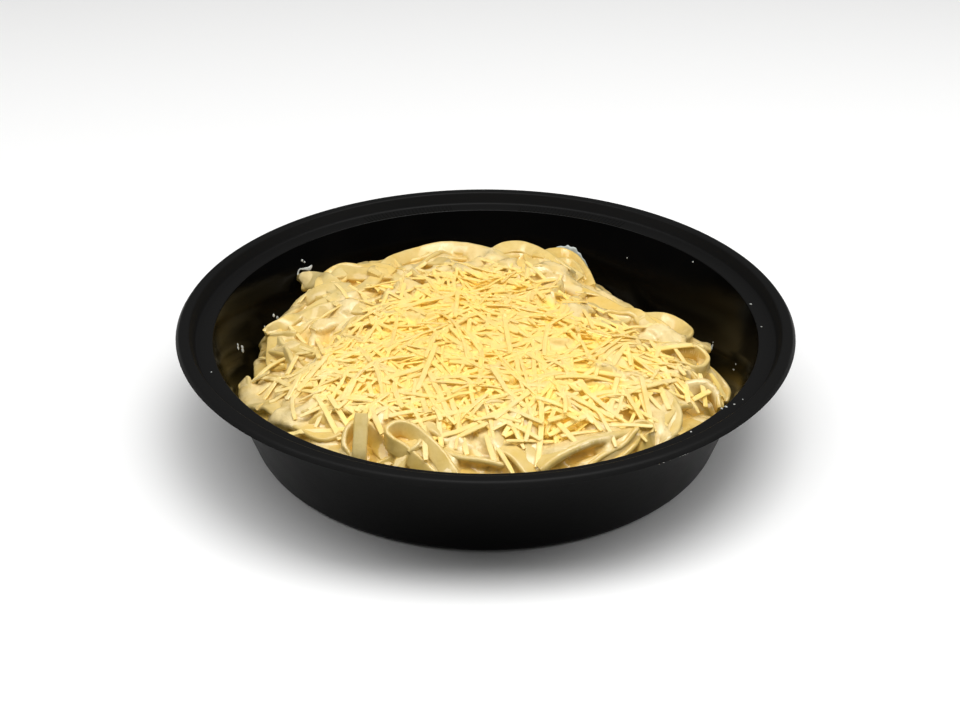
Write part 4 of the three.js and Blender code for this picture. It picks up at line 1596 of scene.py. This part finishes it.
# %% Splash finish
splash_finish, tree, shader = new_material("thin_cream", {
    "Subsurface Weight": 0.2, "Subsurface Radius": (1.0, 0.8, 0.6),
    "Subsurface Scale": 0.001, "IOR": 1.4,
})
drift = mottle(tree, 400.0, 0.35, 0.65)
feed(tree, shader, {
    "Base Color": blend_colours(tree, drift, (0.34, 0.35, 0.33), (0.66, 0.67, 0.64)),
    "Roughness": map_value(tree, drift, 0.18, 0.4),
    "Normal": grain_bump(tree, 900.0, 3000.0, 0.3, 0.3, 0.0002),
})
print("finish:", splash_finish.name)

# %% Where the splashes are
# Wall beads are (x, y, height, radius), and slide out to the wall at that height. Ledge
# beads and lip crumbs are (x, y, radius).
WALL_BEADS = [
    (-75.8, 64.1, 35.0, 0.6), (-74.9, 64.7, 34.0, 0.5), (-51.6, 81.1, 25.5, 0.5),
    (-50.8, 80.9, 23.8, 0.4), (-47.5, 82.3, 22.0, 0.4), (-85.6, 40.7, 21.7, 0.7),
    (-84.4, 41.9, 19.9, 0.8), (-84.3, 41.2, 18.7, 0.95), (-84.4, 40.0, 17.6, 0.8),
    (-88.4, 33.2, 20.5, 0.55), (-88.8, 27.9, 16.5, 0.5), (-95.6, 9.6, 25.4, 0.7),
    (-95.5, 8.7, 24.6, 0.8), (-94.5, 12.3, 23.0, 0.8), (-94.4, 11.3, 22.0, 0.9),
    (90.4, 24.3, 18.4, 0.4), (90.1, 23.7, 17.2, 0.6), (89.7, 23.7, 15.9, 1.05),
    (89.3, 24.0, 14.7, 0.95), (95.3, -1.4, 23.3, 0.4), (94.6, -2.3, 21.2, 0.4),
    (94.2, -1.2, 20.8, 0.35), (84.7, 54.3, 39.1, 0.4), (60.5, 77.0, 30.0, 0.3),
]
LEDGE_BEADS = [
    (101.6, 13.4, 0.5), (102.9, -4.6, 0.4), (88.0, -56.3, 0.3), (84.7, -59.6, 0.4),
    (81.6, -61.2, 0.6), (79.9, -62.6, 0.5), (67.8, -77.0, 0.35), (-97.0, -38.0, 0.3),
]
LIP_CRUMBS = [
    (62.2, -95.9, 0.45), (63.2, -95.4, 0.6), (64.0, -94.7, 0.5), (65.0, -94.2, 0.3),
    (56.6, -99.3, 0.35), (55.0, -100.2, 0.3), (58.6, -98.1, 0.25),
]
print("beads:", len(WALL_BEADS), "on the wall,", len(LEDGE_BEADS), "on the ledge,",
      len(LIP_CRUMBS), "under the lip")


# %% Place the splashes

def off_wall(turn):
    """Which way the inner wall looks, for each turn about the axis."""
    return polar(turn, -math.cos(WALL_SLOPE), math.sin(WALL_SLOPE))


def bead_mesh(name):
    """A point for each bead and crumb, marked with its facing and its radius."""
    x, y, z, wall_size = np.array(WALL_BEADS).T
    turn = np.arctan2(y, x)
    on_wall, wall_facing = polar(turn, inner_radius(z), z), off_wall(turn)
    x, y, ledge_size = np.array(LEDGE_BEADS).T
    on_ledge = np.column_stack([x, y, np.full(len(x), SEAT_HEIGHT)])
    x, y, lip_size = np.array(LIP_CRUMBS).T
    on_lip = polar(np.arctan2(y, x), LIP_RADIUS - 0.45 - lip_size,
                   BOWL_HEIGHT - LIP_DROP - 0.5)
    level = np.tile((0.0, 0.0, 1.0), (len(on_ledge) + len(on_lip), 1))
    return marked_mesh(name, np.vstack([on_wall, on_ledge, on_lip]), [],
                       facing=np.vstack([wall_facing, level]),
                       girth=np.concatenate([wall_size, ledge_size, lip_size]) * MM)


splashes = run_tree("cream_splashes", bead_mesh("cream_splashes"), BEAD_TREE, {
    "Flatness": 0.45, "Unevenness": 0.7 * MM, "Material": splash_finish,
})
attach(splashes, "root")
print("splashes:", len(WALL_BEADS) + len(LEDGE_BEADS) + len(LIP_CRUMBS), "faces:",
      len(splashes.data.polygons))

# %% A smear on the wall
# Knots are (x, y, height, girth), and slide out to the wall as the beads do.
SMEAR_KNOTS = [(-77.3, 58.9, 28.4, 0.5), (-77.6, 59.9, 30.6, 0.75), (-76.9, 61.4, 32.2, 0.6),
               (-75.1, 63.1, 31.6, 0.9), (-73.2, 64.9, 30.9, 1.5), (-72.1, 66.5, 31.7, 0.7)]
x, y, height, girth = knotted_line(SMEAR_KNOTS, 0.35).T
turn = np.arctan2(y, x)
smear_line = polar(turn, inner_radius(height) - 0.12, height)
smear = run_tree("cream_smear", line_mesh("cream_smear", [
    (smear_line, off_wall(turn), girth, np.ones(len(turn)))], 0.5), STRIP_TREE, {
    "Width": 1.1 * MM, "Thickness": 0.5 * MM, "Edge Radius": 0.24 * MM, "Corner Steps": 3,
    "Skin Height": 0.25 * MM, "Skin Scale": 900.0, "Smooth": True,
    "Material": splash_finish,
})
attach(smear, "root")
smear_length = np.linalg.norm(np.diff(smear_line, axis=0), axis=1).sum()
print("smear length:", round(float(smear_length), 1), "mm")

# %% [markdown]
# ### Film on the wall
# Behind the noodles at the back right a skin of thin cream has climbed the wall and begun
# to dry: see-through in its middle and milky at its ragged top edge. It is a closed sheet
# a quarter of a millimetre thick that follows the wall, with noise in its alpha.

# %% Film sheet
# The top edge is given as (turn about the axis in degrees, height).
FILM_TOP = [(75.5, 20.5), (74.0, 24.5), (71.0, 28.6), (68.5, 29.6), (66.0, 28.8),
            (64.5, 27.0), (62.5, 23.5), (60.5, 19.5), (58.0, 14.0)]
FILM_FOOT = 9.0
FILM_ACROSS, FILM_UP = 70, 26
FILM_GAPS = (0.3, 0.55)
film_angles = np.linspace(FILM_TOP[0][0], FILM_TOP[-1][0], FILM_ACROSS)
film_top = np.interp(-film_angles, [-a for a, _ in FILM_TOP], [z for _, z in FILM_TOP])
ragged = np.random.default_rng(31).normal(0, 1, FILM_ACROSS)
film_top = film_top + 0.5 * blur_line(ragged, 1.2)
film_rows, film_tone = [], []
for gap in FILM_GAPS:
    for share in np.linspace(0, 1, FILM_UP):
        z = FILM_FOOT + (film_top - FILM_FOOT) * share
        film_rows.append(polar(np.radians(film_angles), inner_radius(z) - gap, z))
        film_tone += [share ** 6] * FILM_ACROSS
print("film sheet:", FILM_ACROSS, "points across and", FILM_UP, "up")

# %% Closing the film
sheet = FILM_ACROSS * FILM_UP
grid = np.arange(sheet).reshape(FILM_UP, FILM_ACROSS)
cells = np.stack([grid[:-1, :-1], grid[:-1, 1:], grid[1:, 1:], grid[1:, :-1]], -1)
film_faces = []
for a, b, c, d in cells.reshape(-1, 4).tolist():
    film_faces += [(a, b, c, d), (sheet + a, sheet + d, sheet + c, sheet + b)]
rim = np.concatenate([grid[0], grid[1:, -1], grid[-1, -2::-1], grid[-2:0:-1, 0]]).tolist()
film_faces += [(here, sheet + here, sheet + there, there)
               for here, there in zip(rim, rim[1:] + rim[:1])]
film_mesh = bpy.data.meshes.new("cream_film")
film_mesh.from_pydata((np.vstack(film_rows) * MM).tolist(), [], film_faces)
outward = bmesh.new()
outward.from_mesh(film_mesh)
bmesh.ops.recalc_face_normals(outward, faces=outward.faces)
outward.to_mesh(film_mesh)
outward.free()
film_mesh.shade_smooth()
mark_points(film_mesh, "tone", film_tone)
film = link_object("cream_film", film_mesh)
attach(film, "root")
print("film faces:", len(film_faces))

# %% Film finish
film_finish, tree, shader = new_material("drying_film", {"IOR": 1.4, "Coat Weight": 0.3})
drift = mottle(tree, 110.0)
feed(tree, shader, {
    "Base Color": blend_colours(tree, drift, (0.5, 0.56, 0.53), (0.7, 0.76, 0.75)),
    "Alpha": math_node(tree, "ADD", map_value(tree, drift, 0.12, 0.34),
                       math_node(tree, "MULTIPLY", tone_mark(tree), 0.6)),
    "Roughness": map_value(tree, drift, 0.2, 0.4),
    "Normal": grain_bump(tree, 450.0, 1800.0, 0.4, 0.2, 0.0002),
})
film.data.materials.append(film_finish)
print("finish:", film_finish.name)

# %% [markdown]
# ## Ribs on the ledge
# The mould leaves three rows of fine radial ribs on the lid ledge: a short one at the
# front left and two longer ones at the back. They repeat along an arc, so a tree draws
# the arc, puts one bar on each of its points and turns it to point at the axis.

# %% Rib tree
def build_rib_tree():
    tree, given, result = geometry_tree(
        "ledge_ribs", Float=("Middle Radius", "Start", "Sweep", "Length", "Width", "Height",
                             "Level"), Int=("Count",), Material=("Material",))
    arc = output_of(tree, "GeometryNodeCurveArc", {
        "Resolution": given["Count"], "Radius": given["Middle Radius"],
        "Start Angle": given["Start"], "Sweep Angle": given["Sweep"]}, mode="RADIUS")
    half = math_node(tree, "MULTIPLY", given["Length"], 0.5)
    start, end = [output_of(tree, "ShaderNodeCombineXYZ", {
        "X": math_node(tree, "MULTIPLY", half, sign)}) for sign in (-1.0, 1.0)]
    bar = output_of(tree, "GeometryNodeCurveToMesh", {
        "Curve": output_of(tree, "GeometryNodeCurvePrimitiveLine", {
            "Start": start, "End": end}),
        "Profile Curve": rounded_section(
            tree, given["Width"], given["Height"],
            math_node(tree, "MULTIPLY", given["Height"], 0.4), 2),
        "Fill Caps": True,
    })
    bars = output_of(tree, "GeometryNodeInstanceOnPoints", {
        "Points": arc, "Instance": bar,
        "Rotation": output_of(tree, "FunctionNodeAlignRotationToVector", {
            "Vector": output_of(tree, "GeometryNodeInputPosition")}, axis="X"),
    })
    lift = output_of(tree, "ShaderNodeCombineXYZ", {"Z": given["Level"]})
    return set_material(tree, given, result, push(tree, realize(tree, bars), lift))


RIB_TREE = build_rib_tree()

# %% Rows of ribs
# Each row is (middle radius, length, height, first angle, last angle).
RIB_PITCH = 1.65
RIB_WIDTH = 0.7
RIB_ROWS = {
    "ledge_ribs_front": (103.9, 3.0, 0.3, -112.0, -102.5),
    "ledge_ribs_back_left": (104.0, 4.8, 0.5, 98.0, 119.0),
    "ledge_ribs_back_right": (104.0, 4.8, 0.5, 56.0, 81.5),
}
for name, (middle, length, height, start, end) in RIB_ROWS.items():
    count = int(math.radians(end - start) * middle / RIB_PITCH) + 1
    ribs = run_tree(name, marked_mesh(name, np.zeros((1, 3)), []), RIB_TREE, {
        "Middle Radius": middle * MM, "Start": math.radians(start),
        "Sweep": math.radians(end - start), "Count": count, "Length": length * MM,
        "Width": RIB_WIDTH * MM, "Height": height * MM, "Level": SEAT_HEIGHT * MM,
        "Material": black_plastic,
    })
    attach(ribs, "root")
    print(name, "ribs:", count, "faces:", len(ribs.data.polygons))
